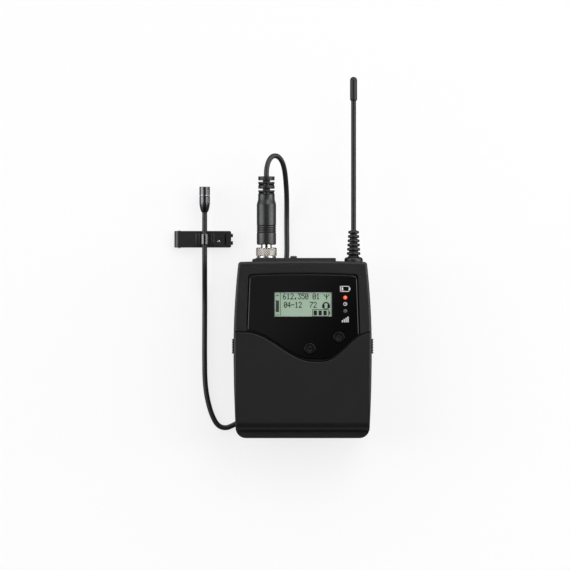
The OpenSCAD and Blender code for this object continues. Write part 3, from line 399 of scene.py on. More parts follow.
# %% [markdown]
# The soft parts differ in how they take the light. Silicone buttons are deep black with a soft gloss, turned nylon
# has a clear one, rubber is duller, and the PVC of the cord is the palest. Raised signs look grey from wear.

# %% Button, plug and rubber finishes
# Moulded silicone: the deepest black, with a soft gloss.
button_silicone = grained("button_silicone", "#08090a", 0.3, 0.35, 0.01, (0.26, 0.36), ("#0a0b0c", "#060708"),
                          IOR=1.33)

# Turned nylon: lines round the axis pull the highlight into a long streak.
plug_nylon = streaked("turned_black_nylon", "#1f2021", 0.34, "XZ", 0.35, 20, 0.002, (0.28, 0.4), 0.0, IOR=1.52)

# Painted shade for grooves, slits and notches: near black, rough and without any gloss.
painted_groove_shade = grained("painted_shade_black", "#0b0b0c", 0.75, 0.3, 0.008, (0.65, 0.85), ("#0d0d0e", "#080809"), 2,
                      IOR=1.35)

# Moulded rubber on the boots: black with a dull sheen.
soft_rubber = grained("soft_rubber", "#101112", 0.42, 0.4, 0.01, (0.36, 0.48), ("#131415", "#0d0e0f"), IOR=1.48)

# Drawn rubber skin on the antenna: smoother and a little greyer than the boots.
mast_skin = grained("antenna_skin_rubber", "#17181a", 0.4, 0.5, 0.005, (0.36, 0.46), ("#1a1b1c", "#141516"), IOR=1.42)

# Worn tops of the raised signs: dark grey and matt.
sign_rubber = grained("raised_sign_rubber", "#2a2b2d", 0.5, 0.3, 0.004, (0.42, 0.58), ("#2e2f31", "#252628"), 2)

# Extruded soft PVC: charcoal, with a soft sheen along the cord.
cord_pvc = grained("cord_pvc", "#202122", 0.4, 0.5, 0.006, (0.36, 0.46), ("#232425", "#1d1e1e"), IOR=1.45)
cord.data.materials.append(cord_pvc)
print("cord jacket:", cord_pvc.name)

# %% [markdown]
# Bare metals keep the default IOR. Nickel plate on the nut and neck is warm and bright, and it is turned, so its
# fine lines run round the axis. In the grooves of a knurl it is rougher and painted darker, as painted shade. The tie
# clip isn't bare: its sheet steel is lacquered.

# %% Metal finishes
# Nickel plate on turned brass: warm, bright, with fine lines round the axis.
nickel_plate = streaked("nickel_plate", "#cfcac4", 0.28, "XZ", 0.25, 20, 0.002, (0.2, 0.3))

# The same plate in the knurl's grooves: rougher, with painted shade that makes it darker.
nickel_groove_shade = grained("dull_nickel_painted_shade", "#66625c", 0.45, 0.3, 0.006, (0.4, 0.55), ("#6e6a64", "#5a5650"), 2, 1.0)

# Spring steel, brushed along the belt clip: long fine scratches.
spring_steel = streaked("brushed_spring_steel", "#a2a4a6", 0.3, "Y", 0.22, 14, 0.004, (0.24, 0.42))

# Zinc plate on screws and pins: bluish grey, with a satin gloss.
screw_steel = grained("zinc_plated_steel", "#9b9da0", 0.3, 0.3, 0.004, (0.24, 0.4), ("#a3a5a8", "#8f9194"), 3, 1.0)

# Gold plate on spring bronze: pale yellow and bright.
gold_contact = grained("gold_plated_contact", "#d1b070", 0.25, 0.3, 0.003, (0.18, 0.34), ("#d8b878", "#c4a262"), 3,
                       1.0)

# Black nickel on the turned microphone: smoky grey, with very shallow turning lines.
black_nickel = streaked("black_nickel_plate", "#58585a", 0.25, "XZ", 0.3, 20, 0.0004, (0.23, 0.28))

# The same plate on the polished cord holder: smoother, so its highlights are narrow.
holder_nickel = grained("polished_black_nickel", "#565658", 0.2, 0.4, 0.002, (0.17, 0.25), ("#5a5a5c", "#4e4e50"),
                        3, 1.0)

# Drawn wire, blackened: dark, half metal and half coating.
mesh_wire = grained("mesh_wire", "#2c2e30", 0.4, 0.15, 0.003, (0.32, 0.48), ("#34373a", "#25272a"), 1, 0.8)

# Black lacquer on sheet steel: smooth and fairly glossy.
clip_lacquer = grained("lacquered_sheet_steel", "#1d1e1f", 0.34, 0.3, 0.003, (0.3, 0.4), ("#202122", "#1a1b1c"), 5,
                       IOR=1.55)
print("materials so far:", len(bpy.data.materials))

# %% [markdown]
# Inside the case are a circuit board and two cells. Green lacquer covers the board's copper paths, which show
# through as lighter lines. A cell has a printed sleeve, a pale band near its plus end and a bare metal cap, and
# the two cells lie opposite ways, so the print is mirrored for the upper one.

# %% Finishes inside the case
BOARD_GREEN, PATH_MM = "#1f5a37", 3
# Solder lacquer: green with a fair gloss, over paths that are drawn wider than real ones.
solder_mask, tree, place, shader = start_finish("solder_mask", BOARD_GREEN, 0.4)
paths = add_node(tree, "ShaderNodeTexBrick", {
    "Vector": place, "Scale": cells(PATH_MM), "Color1": srgb(BOARD_GREEN), "Color2": srgb("#1b5132"),
    "Mortar": srgb("#3d8b56"), "Mortar Size": 0.06})
tree.links.new(paths.outputs["Color"], shader.inputs["Base Color"])

SLEEVE_GREY = "#3a4048"
BETWEEN_CELLS, BAND_FROM, CAP_FROM = -36.5, 13.5, 23.8
# Printed plastic film, shrunk over a steel can: slate grey and glossy, and bare steel at the cap.
cell_sleeve, tree, place, shader = start_finish("printed_cell_sleeve", SLEEVE_GREY, 0.28)
ends = add_node(tree, "ShaderNodeSeparateXYZ", {0: place})
upper = add_node(tree, "ShaderNodeMath", {0: ends.outputs["Y"], 1: BETWEEN_CELLS * MM}, operation="GREATER_THAN")
turn = add_node(tree, "ShaderNodeMath", {0: upper.outputs[0], 1: -2.0, 2: 1.0}, operation="MULTIPLY_ADD")
to_plus = add_node(tree, "ShaderNodeMath", {0: ends.outputs["X"], 1: turn.outputs[0]}, operation="MULTIPLY")
band = add_node(tree, "ShaderNodeMath", {0: to_plus.outputs[0], 1: BAND_FROM * MM}, operation="GREATER_THAN")
cap_end = add_node(tree, "ShaderNodeMath", {0: to_plus.outputs[0], 1: CAP_FROM * MM}, operation="GREATER_THAN")
tree.links.new(two_tones(tree, band.outputs[0], SLEEVE_GREY, "#a9adb2"), shader.inputs["Base Color"])
tree.links.new(cap_end.outputs[0], shader.inputs["Metallic"])
print("inner finishes:", solder_mask.name, cell_sleeve.name)

# %% [markdown]
# An operator acts on what is selected, so each helper starts by selecting its own piece. Shading is smooth over
# round faces and stays sharp at creases. A finished piece gets its name, finish and body in one place.

# %% Working on one object
def only(piece):
    """Selects this object alone and makes it active."""
    bpy.ops.object.select_all(action="DESELECT")
    piece.select_set(True)
    bpy.context.view_layer.objects.active = piece


def shade(piece, crease=38):
    """Smooths what is rounder than the crease angle, afresh, so it is used again after a change of shape."""
    only(piece)
    bpy.ops.mesh.customdata_custom_splitnormals_clear()
    bpy.ops.object.shade_smooth_by_angle(angle=math.radians(crease))
    even = piece.modifiers.new("even_shading", "WEIGHTED_NORMAL")
    even.keep_sharp = True
    bpy.ops.object.modifier_apply(modifier=even.name)


def settle(piece, name, finish, body):
    """Names a finished mesh, gives it its finish and its shading, and lets it ride."""
    only(piece)
    piece.name = piece.data.name = name
    bpy.ops.object.transform_apply(location=True, rotation=True, scale=True)
    piece.data.materials.clear()
    piece.data.materials.append(finish)
    shade(piece)
    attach(piece, body)
    return piece


def edit_faces(piece, chosen):
    """Goes into edit mode with only those faces selected that pass a test."""
    only(piece)
    bpy.ops.object.mode_set(mode="EDIT")
    bpy.ops.mesh.select_mode(type="FACE")
    bpy.ops.mesh.select_all(action="DESELECT")
    work = bmesh.from_edit_mesh(piece.data)
    for face in work.faces:
        face.select_set(chosen(face))
    bmesh.update_edit_mesh(piece.data)


def end_edit():
    """Leaves edit mode, ready to select points again."""
    bpy.ops.mesh.select_mode(type="VERT")
    bpy.ops.object.mode_set(mode="OBJECT")


# %% [markdown]
# Many solids already have the right shape, and only their knife edges look wrong: real edges are broken by a tenth
# of a millimetre or two, and catch the light. Such a solid gets a copy whose points are joined, whose flat faces
# are made whole, and whose edges are bevelled. The copy rides and stands for the solid.

# %% Softened edges
JOIN_MM, FLAT_ANGLE = 0.03, 0.6


def round_edges(piece, width_mm, segments=2, sharper_than=50, where=None):
    """Rounds the outer edges that turn by more than an angle, or only those whose middle passes a test."""
    only(piece)
    bpy.ops.object.mode_set(mode="EDIT")
    bpy.ops.mesh.select_mode(type="EDGE")
    bpy.ops.mesh.select_all(action="SELECT")
    bpy.ops.mesh.normals_make_consistent(inside=False)
    bpy.ops.mesh.select_all(action="DESELECT")
    work = bmesh.from_edit_mesh(piece.data)
    for edge in work.edges:
        sharp = edge.is_convex and edge.calc_face_angle(0) > math.radians(sharper_than)
        edge.select_set(sharp and (where is None or where((edge.verts[0].co + edge.verts[1].co) / 2 / MM)))
    bmesh.update_edit_mesh(piece.data)
    bpy.ops.mesh.bevel(offset=width_mm * MM, segments=segments, affect="EDGES", clamp_overlap=False,
                       miter_outer="ARC")
    end_edit()


def softened(node, finish, width_mm, segments=2, where=None):
    """A copy of a solid with joined points and rounded edges, which stands for the solid."""
    solid = frame["nodes"][node]
    piece = bpy.data.objects.new(node + "_dressed", solid.data.copy())
    bpy.context.collection.objects.link(piece)
    only(piece)
    bpy.ops.mesh.customdata_custom_splitnormals_clear()
    bpy.ops.object.mode_set(mode="EDIT")
    bpy.ops.mesh.select_all(action="SELECT")
    bpy.ops.mesh.remove_doubles(threshold=JOIN_MM * MM)
    bpy.ops.mesh.dissolve_limited(angle_limit=math.radians(FLAT_ANGLE))
    bpy.ops.object.mode_set(mode="OBJECT")
    if width_mm:
        round_edges(piece, width_mm, segments, where=where)
    settle(piece, node + "_dressed", finish, solid["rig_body"])
    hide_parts(node)
    return piece


# %% [markdown]
# The two front shells are made point by point, because their shape comes from formulas: the sides bulge like a
# barrel's, the top edge has a slight crown, and the seam between them is a long S. All values are millimetres
# from the middle of the case's bottom edge and its back.

# %% Case shape
CASE_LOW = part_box("rear_housing")[0] / MM
CASE_W = (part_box("rear_housing")[1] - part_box("rear_housing")[0]).x / MM
CASE_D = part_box("front_housing")[1].z / MM - CASE_LOW.z
CASE_H = 80.5
CROWN = 0.5
WIDEST_Y = 40
DRAW_TOP, DRAW_BOTTOM = 2.3, 1.2
SEAM_SIDE, SEAM_DIP = 48.3, 13.3
SEAM_LOW_LEFT, SEAM_LOW_RIGHT = 5, 9
SEAM_RUN_LEFT, SEAM_RUN_RIGHT = 31.3, 22


def half_width(y):
    """Half the width of the barrel-shaped case at a height over its bottom edge."""
    if y > WIDEST_Y:
        return CASE_W / 2 - DRAW_TOP * ((y - WIDEST_Y) / (CASE_H - WIDEST_Y)) ** 2
    return CASE_W / 2 - DRAW_BOTTOM * ((WIDEST_Y - y) / WIDEST_Y) ** 2


def seam_y(x):
    """Height of the S-shaped seam: lowest a little right of the middle, and level at the sides."""
    if x < SEAM_LOW_LEFT:
        t = (SEAM_LOW_LEFT - x) / SEAM_RUN_LEFT
    else:
        t = max(0, (x - SEAM_LOW_RIGHT) / SEAM_RUN_RIGHT)
    return SEAM_SIDE - (SEAM_DIP * (1 + math.cos(math.pi * t)) / 2 if t < 1 else 0)


def arc(middle, radius, start, steps=8):
    """Points of a quarter circle that turns left."""
    angles = [math.radians(start + 90 * i / steps) for i in range(steps + 1)]
    return [(middle[0] + radius * math.cos(a), middle[1] + radius * math.sin(a)) for a in angles]


def spread(start, end, steps):
    """Evenly spaced values from start to end, both included."""
    return [start + (end - start) * i / steps for i in range(steps + 1)]


print("case in mm:", round(CASE_W, 2), CASE_H, round(CASE_D, 2), "seam at the middle:", round(seam_y(0), 2))

# %% [markdown]
# A shell is a stack of rings, closed outlines that all have the same number of points. Bands of faces join each
# ring to the next, rings that draw in as they rise make a rounded rim, and a flat face closes the last one, with
# other rings as its holes.

# %% Rings, walls and faces
STRAIGHT_ENOUGH = 0.1


def inset_ring(points, amounts):
    """A closed outline with each edge moved inwards by its own amount."""
    moved = []
    for i, (x, y) in enumerate(points):
        here = Vector((x, y))
        before = (here - Vector(points[i - 1])).normalized()
        after = (Vector(points[(i + 1) % len(points)]) - here).normalized()
        in_before, in_after = Vector((-before.y, before.x)), Vector((-after.y, after.x))
        step_before, step_after = in_before * amounts[i - 1], in_after * amounts[i]
        turn = before.cross(after)
        if abs(turn) < STRAIGHT_ENOUGH:
            here += (in_before + in_after).normalized() * (amounts[i - 1] + amounts[i]) / 2
        else:
            here += step_before + before * (step_after - step_before).cross(after) / turn
        moved.append((here.x, here.y))
    return moved


def add_ring(shell, points, z):
    """Points of a closed outline at a depth, given in the case's millimetres."""
    return [shell.verts.new((x * MM, (y + CASE_LOW.y) * MM, (z + CASE_LOW.z) * MM)) for x, y in points]


def add_walls(shell, *rings):
    """Bands of faces from each ring to the next."""
    for one, other in zip(rings, rings[1:]):
        for i in range(len(one)):
            j = (i + 1) % len(one)
            shell.faces.new((one[i], one[j], other[j], other[i]))


def add_face(shell, *rings):
    """A flat face inside the first ring, with the other rings as its holes."""
    edges = []
    for ring in rings:
        for i, point in enumerate(ring):
            pair = (point, ring[(i + 1) % len(ring)])
            edges.append(shell.edges.get(pair) or shell.edges.new(pair))
    bmesh.ops.triangle_fill(shell, use_beauty=True, edges=edges)


def add_rim(shell, outline, radii, foot_z, top_z, steps=6):
    """A wall that ends in a round rim, with a radius for each edge. Gives the rings at its foot and its top."""
    rings = [add_ring(shell, outline, foot_z)]
    for i in range(steps + 1):
        drop = max(radii) * (1 - math.sin(math.pi / 2 * i / steps))
        amounts = [0 if drop >= r else r - math.sqrt(r * r - (r - drop) ** 2) for r in radii]
        rings.append(add_ring(shell, inset_ring(outline, amounts), top_z - drop))
    add_walls(shell, *rings)
    return rings[0], rings[-1]


def as_piece(work, name):
    """An object from points and faces that were made in code."""
    mesh = bpy.data.meshes.new(name)
    work.to_mesh(mesh)
    work.free()
    piece = bpy.data.objects.new(name, mesh)
    bpy.context.collection.objects.link(piece)
    return piece


def finish_shell(shell, name, finish, body):
    """Turns a closed shell into a piece with its faces outwards."""
    bmesh.ops.recalc_face_normals(shell, faces=shell.faces)
    piece = settle(as_piece(shell, name), name, finish, body)
    print(name, "has", len(piece.data.polygons), "faces")
    return piece


# %% [markdown]
# The front shell holds the window in a recess with a narrow gutter round it, which draws a dark line. Its outer rim
# has a 1.2 mm round, the lip along the seam a small one, and the gutter's edge a fine chamfer. The window keeps to
# the seam at its foot and is crowned at its top, as the case is.

# %% Outlines of shell, window and openings
CORNER_TOP = 1.4
FRONT_EDGE, SEAM_EDGE = 1.2, 0.22
SEAM_GAP = 0.12
WINDOW_LEFT, WINDOW_RIGHT, WINDOW_FLARE = 24.1, 24.6, 0.9
WINDOW_TOP, WINDOW_RIM, WINDOW_CORNER, WINDOW_CROWN = 73.8, 0.9, 1.8, 0.6
WINDOW_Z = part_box("display_window")[1].z / MM - CASE_LOW.z
WINDOW_FOOT = WINDOW_Z - 1.0
MOST_AT_SEAM = 0.45
LCD_SIZE = (26, 11.2)
BUTTON_R, BUTTON_FIT = 2.5, 0.15
LAMP_R, LAMP_FIT = 0.9, 0.1


def front_outline():
    """The front shell's outline, turning left from its lower right corner, and a rim radius for each edge."""
    corner_y = CASE_H - CROWN - CORNER_TOP
    corner_x = half_width(corner_y) - CORNER_TOP
    side = [(half_width(y), y) for y in spread(SEAM_SIDE, corner_y, 16)[:-1]]
    top = [(x, CASE_H - CROWN * (x / corner_x) ** 2) for x in spread(corner_x, -corner_x, 20)[1:-1]]
    right = side + arc((corner_x, corner_y), CORNER_TOP, 0)
    left = [(-x, y) for x, y in reversed(right)]
    widest = half_width(SEAM_SIDE)
    seam = [(x, seam_y(x) + SEAM_GAP) for x in spread(-widest, widest, 70)[1:-1]]
    outline = right + top + left + seam
    return outline, [FRONT_EDGE] * (len(outline) - len(seam) - 1) + [SEAM_EDGE] * (len(seam) + 1)


def window_outline(grow):
    """The window's outline, grown all round but less along the seam, turning left from its lower left corner."""
    left, right = -WINDOW_LEFT - WINDOW_FLARE - grow, WINDOW_RIGHT + WINDOW_FLARE + grow
    bottom = [(x, seam_y(x) + WINDOW_RIM - min(grow, MOST_AT_SEAM)) for x in spread(left, right, 56)]
    top_y = WINDOW_TOP + grow
    corner_y = top_y - WINDOW_CORNER
    right_x, left_x = WINDOW_RIGHT + grow - WINDOW_CORNER, -WINDOW_LEFT - grow + WINDOW_CORNER
    top = [(x, top_y + WINDOW_CROWN * (1 - (x / (right_x if x > 0 else left_x)) ** 2))
           for x in spread(right_x, left_x, 16)[1:-1]]
    return bottom + arc((right_x, corner_y), WINDOW_CORNER, 0) + top + arc((left_x, corner_y), WINDOW_CORNER, 90)


def box_outline(middle, size, corner=0.3):
    """A rectangle with rounded corners, turning left."""
    x, y = size[0] / 2 - corner, size[1] / 2 - corner
    return [p for sx, sy, start in ((1, -1, 270), (1, 1, 0), (-1, 1, 90), (-1, -1, 180))
            for p in arc((middle[0] + sx * x, middle[1] + sy * y), corner, start, 4)]


def round_outline(middle, radius, points=40):
    """A circle, turning left."""
    angles = [2 * math.pi * i / points for i in range(points)]
    return [(middle[0] + radius * math.cos(a), middle[1] + radius * math.sin(a)) for a in angles]


def node_middle(node):
    """The middle of a solid's box, in the case's millimetres."""
    low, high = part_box(node)
    return (low.x + high.x) / 2 / MM, (low.y + high.y) / 2 / MM - CASE_LOW.y


def panel_holes(grow):
    """Outlines of the openings for the display, the buttons and the lamps."""
    openings = [box_outline(node_middle("lcd_panel"), (LCD_SIZE[0] + 2 * grow, LCD_SIZE[1] + 2 * grow))]
    for node in ("button_left", "button_right"):
        openings.append(round_outline(node_middle(node), BUTTON_R + BUTTON_FIT + grow))
    for node in ("status_lamp", "peak_lamp"):
        openings.append(round_outline(node_middle(node), LAMP_R + LAMP_FIT + grow, 24))
    return openings


print("openings in the panel:", len(panel_holes(0)))

# %% [markdown]
# The shell is built from outside to inside: the outer wall with its rim, the front face, the chamfer and walls of
# the gutter, the panel with its openings, the inside, and the lip at the foot. Every wall leans by a hair, as
# walls from a mould do.

# %% Front shell
WALL, PANEL_T = 1.8, 0.2
GUTTER, GUTTER_DEEP = 0.72, 1.75
CHAMFER, LEAN, UNDER_WINDOW = 0.06, 0.02, 0.1
SPLIT_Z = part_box("front_housing")[0].z / MM - CASE_LOW.z
shell = bmesh.new()
outline, radii = front_outline()
foot, rim = add_rim(shell, outline, radii, SPLIT_Z, CASE_D)
gutter_z = CASE_D - GUTTER_DEEP
recess_top = add_ring(shell, window_outline(GUTTER + LEAN + CHAMFER), CASE_D)
add_face(shell, rim, recess_top)
recess = [add_ring(shell, window_outline(grow), z) for grow, z in (
    (GUTTER + LEAN, CASE_D - CHAMFER), (GUTTER, gutter_z), (-UNDER_WINDOW, gutter_z),
    (-UNDER_WINDOW - LEAN, WINDOW_FOOT))]
add_walls(shell, recess_top, *recess)
panel_z = CASE_D - WALL - PANEL_T
hole_tops = [add_ring(shell, hole, WINDOW_FOOT) for hole in panel_holes(0)]
hole_feet = [add_ring(shell, hole, panel_z) for hole in panel_holes(0)]
add_face(shell, recess[-1], *hole_tops)
for hole_top, hole_foot in zip(hole_tops, hole_feet):
    add_walls(shell, hole_top, hole_foot)
inside = inset_ring(outline, [WALL] * len(outline))
inside_top, inside_foot = add_ring(shell, inside, panel_z), add_ring(shell, inside, SPLIT_Z)
add_face(shell, inside_top, *hole_feet)
add_walls(shell, inside_top, inside_foot)
add_face(shell, foot, inside_foot)
front_shell = finish_shell(shell, "front_shell", satin_paint, "pack")
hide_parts("front_housing")

# %% [markdown]
# The window is one plate with openings for the display, buttons and lamps. A polished plate shows its edges as
# bright lines, so the outer edge is rounded and each opening gets a small chamfer.

# %% Window
WINDOW_EDGE, HOLE_CHAMFER, WINDOW_PLAY = 0.38, 0.12, 0.05
shell = bmesh.new()
outline = window_outline(-WINDOW_PLAY)
foot, rim = add_rim(shell, outline, [WINDOW_EDGE] * len(outline), WINDOW_FOOT, WINDOW_Z, 4)
hole_rims = [add_ring(shell, hole, WINDOW_Z) for hole in panel_holes(HOLE_CHAMFER)]
hole_edges = [add_ring(shell, hole, WINDOW_Z - HOLE_CHAMFER) for hole in panel_holes(0)]
hole_feet = [add_ring(shell, hole, WINDOW_FOOT) for hole in panel_holes(0)]
add_face(shell, rim, *hole_rims)
for rings in zip(hole_rims, hole_edges, hole_feet):
    add_walls(shell, *rings)
add_face(shell, foot, *hole_feet)
window = finish_shell(shell, "window", window_acrylic, "pack")
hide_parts("display_window")

# %% [markdown]
# Round parts come off a lathe. Here a disc stands for the end of the bar, and its face is drawn out along the axis
# step by step, and widened or narrowed at each step. A profile that ends where it starts makes a sleeve.

# %% Lathe
def turned(name, axis, profile, finish, body, along="Y", steps=72):
    """A turned piece from steps of (distance along, radius), about an axis through a point, in millimetres."""
    sleeve = profile[0] == profile[-1]
    place, radius = profile[0]
    line = Vector([letter == along for letter in "XYZ"])
    centre = Vector(axis) * MM
    lean = {"Y": (math.pi / 2, 0, 0), "Z": (0, 0, 0)}[along]
    bpy.ops.object.select_all(action="DESELECT")
    bpy.ops.mesh.primitive_circle_add(vertices=steps, radius=radius * MM, location=centre + line * place * MM,
                                      rotation=lean, fill_type="NOTHING" if sleeve else "NGON")
    piece = bpy.context.object
    bpy.ops.object.transform_apply(location=True, rotation=True, scale=True)
    bpy.ops.object.mode_set(mode="EDIT")
    bpy.ops.mesh.select_all(action="SELECT")
    for next_place, next_radius in profile[1:]:
        bpy.ops.mesh.extrude_region_move(TRANSFORM_OT_translate={"value": line * (next_place - place) * MM})
        wider = next_radius / radius
        bpy.ops.transform.resize(value=[1 if letter == along else wider for letter in "XYZ"],
                                 center_override=centre + line * next_place * MM)
        place, radius = next_place, next_radius
    bpy.ops.mesh.select_all(action="SELECT")
    bpy.ops.mesh.remove_doubles(threshold=0.0005 * MM)
    bpy.ops.mesh.normals_make_consistent(inside=False)
    bpy.ops.object.mode_set(mode="OBJECT")
    return settle(piece, name, finish, body)


# %% [markdown]
# Four more shop tools are needed. A block is a cube at its size and place with its edges rounded. Joining makes
# one piece of several. Pressing pushes faces towards the axis, as a slit or a notch. A second finish goes on the
# faces that a test picks, such as the floors of grooves.

# %% Blocks, joining and second finishes
def block(low, high, round_mm=0.0, segments=2):
    """A box between two corners in millimetres, with its edges rounded."""
    low, high = Vector(low) * MM, Vector(high) * MM
    bpy.ops.object.select_all(action="DESELECT")
    bpy.ops.mesh.primitive_cube_add(size=1, location=(low + high) / 2, scale=high - low)
    piece = bpy.context.object
    bpy.ops.object.transform_apply(location=True, rotation=True, scale=True)
    if round_mm:
        round_edges(piece, round_mm, segments)
    return piece


def join_pieces(pieces, name, finish, body):
    """Several meshes as one piece."""
    only(pieces[0])
    for piece in pieces[1:]:
        piece.select_set(True)
    bpy.ops.object.join()
    return settle(bpy.context.object, name, finish, body)


def press_faces(piece, chosen, axis, factor):
    """Pushes the faces that a test picks towards an axis along Y, and leaves walls round them."""
    edit_faces(piece, lambda face: chosen(face.calc_center_median() / MM))
    bpy.ops.mesh.extrude_region_move(TRANSFORM_OT_translate={"value": (0, 0, 0)})
    bpy.ops.transform.resize(value=(factor, 1, factor), center_override=Vector(axis) * MM)
    end_edit()
    shade(piece)


def second_finish(piece, finish, chosen):
    """Gives another finish to the faces whose middle, in millimetres, passes a test."""
    piece.data.materials.append(finish)
    faces = [face for face in piece.data.polygons if chosen(face.center / MM)]
    for face in faces:
        face.material_index = len(piece.data.materials) - 1
    print(piece.name, "has", len(faces), "faces in", finish.name)


# %% [markdown]
# The plug is turned from black nylon and has four thin grip grooves, whose floors are painted near black as shade.
# All pieces of the plug share one axis, so distances and angles are measured from it.

# %% Plug body
JACK = (-16.45, 0, 18.6)
PLUG_R, LAND_R, GROOVE_R = 4.4, 4.36, 4.2
GROOVES, GROOVE_W, GROOVE_LEAN, GROOVE_LIP = (39.29, 40.27, 41.26, 42.24), 0.44, 0.02, 0.04


def off_axis(spot, axis=JACK):
    """How far a spot in millimetres is from an axis along Y."""
    return math.hypot(spot.x - axis[0], spot.z - axis[2])


def round_turn(spot, step):
    """The angle of a spot round the jack's axis, as its distance in degrees from the nearest whole step."""
    turn = math.degrees(math.atan2(spot.z - JACK[2], spot.x - JACK[0]))
    return abs((turn + step / 2) % step - step / 2)


groove_steps = []
for low in GROOVES:
    high = low + GROOVE_W
    groove_steps += [(low - GROOVE_LIP, PLUG_R), (low, LAND_R), (low + GROOVE_LEAN, GROOVE_R),
                     (high - GROOVE_LEAN, GROOVE_R), (high, LAND_R), (high + GROOVE_LIP, PLUG_R)]
plug_body = turned("plug_sleeve", JACK, [
    (33.8, 3.85), (33.88, 4.1), (34.05, 4.28), (34.35, PLUG_R)] + groove_steps + [
    (51.9, PLUG_R), (52.3, 4.35), (52.9, 4.2), (54.0, 3.87), (54.6, 3.77), (56.6, 3.76)],
    plug_nylon, "pack")
# Painted shade: the floors of the grip grooves get the near-black finish.
second_finish(plug_body, painted_groove_shade, lambda m: 39 < m.y < 43 and off_axis(m) < GROOVE_R + 0.05)
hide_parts("plug_body")

# %% [markdown]
# The boot is a stack of rubber discs on a thin core. Webs join each disc to the next, lying flat and standing up
# in turn, so the boot bends in every direction. Between the discs the lathe's profile comes down to the core.

# %% Plug boot
BOOT_DISCS = ((56.6, 57.1), (57.8, 58.6), (59.3, 60.8), (61.5, 62.4), (63.1, 64.9))
BOOT_R, BOOT_CORE_R = 3.72, 1.65
BOOT_EDGE = ((0, 0.14), (0.05, 0.04), (0.14, 0))
WEB_REACH, WEB_HALF, WEB_SINK = 3.5, 1.1, 0.05
boot_steps = []
for low, high in BOOT_DISCS:
    boot_steps += [(low, BOOT_CORE_R)] + [(low + along, BOOT_R - down) for along, down in BOOT_EDGE]
    boot_steps += [(high - along, BOOT_R - down) for along, down in reversed(BOOT_EDGE)] + [(high, BOOT_CORE_R)]
boot = turned("boot_discs", JACK, boot_steps, soft_rubber, "pack")
webs = []
for number, (below, above) in enumerate(zip(BOOT_DISCS, BOOT_DISCS[1:])):
    half = (WEB_REACH, WEB_HALF) if number % 2 == 0 else (WEB_HALF, WEB_REACH)
    webs.append(block((JACK[0] - half[0], below[1] - WEB_SINK, JACK[2] - half[1]),
                      (JACK[0] + half[0], above[0] + WEB_SINK, JACK[2] + half[1])))
boot = join_pieces([boot] + webs, "plug_boot_discs", soft_rubber, "pack")
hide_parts("plug_boot")
print("boot discs:", len(BOOT_DISCS), "webs:", len(webs))

# %% [markdown]
# The plug's neck is a nickel-plated collet with eight slits. A slit is pressed in from the turned face, so it has
# real walls, and its floor and walls are painted dark as shade.

# %% Neck
PIN_R, NECK_R, COLLAR_R = 1.75, 2.5, 3.6
SLIT_LOW, SLIT_HIGH, SLIT_STEP, SLIT_HALF = 32.7, 33.5, 45, 5.7
neck = turned("plug_neck", JACK, [
    (14.5, 1.55), (14.8, PIN_R), (30.4, PIN_R), (30.4, 3.5), (30.5, COLLAR_R), (31.5, COLLAR_R), (31.5, NECK_R),
    (32.62, NECK_R), (33.6, NECK_R), (33.8, NECK_R)], nickel_plate, "pack", steps=64)


def in_slit(middle):
    """Whether a face of the neck lies in one of the eight slits."""
    return (SLIT_LOW < middle.y < SLIT_HIGH and off_axis(middle) > NECK_R - 0.2
            and round_turn(middle, SLIT_STEP) < SLIT_HALF)


press_faces(neck, in_slit, (JACK[0], 33, JACK[2]), 0.68)
# Painted shade: the floors and walls of the slits get the near-black finish.
second_finish(neck, painted_groove_shade, lambda m: SLIT_LOW < m.y < SLIT_HIGH and off_axis(m) < NECK_R - 0.05)
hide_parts("plug_contact")

# %% [markdown]
# The lock nut has a diamond knurl: two sets of slanting grooves cross each other. A knurling wheel presses them
# in, so a fine turned band gets its knurl by moving each point in by the depth of the grooves at its place.

# %% Lock nut
NUT_LOW, NUT_HIGH, NUT_R = 28.7, 32.5, 4.75
NUT_FACE_R, NUT_EDGE_R, NUT_BORE_R, NUT_HOLLOW_R = 4.3, 4.62, 2.58, 3.98
KNURL_LOW, KNURL_LONG, KNURL_ROWS = NUT_LOW + 0.25, 3.3, 24
DIAMONDS, DIAMOND_RISE, KNURL_DEPTH = 24, 1.1, 0.3
knurl_rows = [(place, NUT_R) for place in spread(KNURL_LOW, KNURL_LOW + KNURL_LONG, KNURL_ROWS)]
nut = turned("knurled_lock_nut", JACK, [
    (NUT_LOW, NUT_FACE_R), (NUT_LOW + 0.2, NUT_EDGE_R)] + knurl_rows + [
    (NUT_HIGH - 0.2, NUT_EDGE_R), (NUT_HIGH, NUT_FACE_R), (NUT_HIGH, NUT_BORE_R), (31.6, NUT_BORE_R),
    (31.6, NUT_HOLLOW_R), (NUT_LOW, NUT_HOLLOW_R), (NUT_LOW, NUT_FACE_R)],
    nickel_plate, "nut", steps=8 * DIAMONDS)


def knurl_height(spot):
    """How high a spot in millimetres stands on the knurl: 0 in a groove, 1 on the point of a diamond."""
    around = math.atan2(spot.z - JACK[2], spot.x - JACK[0]) / (2 * math.pi) * DIAMONDS
    up = (spot.y - KNURL_LOW) / DIAMOND_RISE
    return min(abs((around + way * up) % 1 - 0.5) * 2 for way in (1, -1))


for point in nut.data.vertices:
    spot = point.co / MM
    if off_axis(spot) > NUT_R - 0.01:
        closer = 1 - KNURL_DEPTH * (1 - knurl_height(spot)) / NUT_R
        point.co.x = (JACK[0] + (spot.x - JACK[0]) * closer) * MM
        point.co.z = (JACK[2] + (spot.z - JACK[2]) * closer) * MM
shade(nut, 20)
# Painted shade: the faces in the knurl's grooves get the darker, rougher nickel.
second_finish(nut, nickel_groove_shade, lambda m: 28.9 < m.y < 32.3 and off_axis(m) > 4.2 and knurl_height(m) < 0.18)
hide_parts("lock_nut")
print("nut faces:", len(nut.data.polygons))
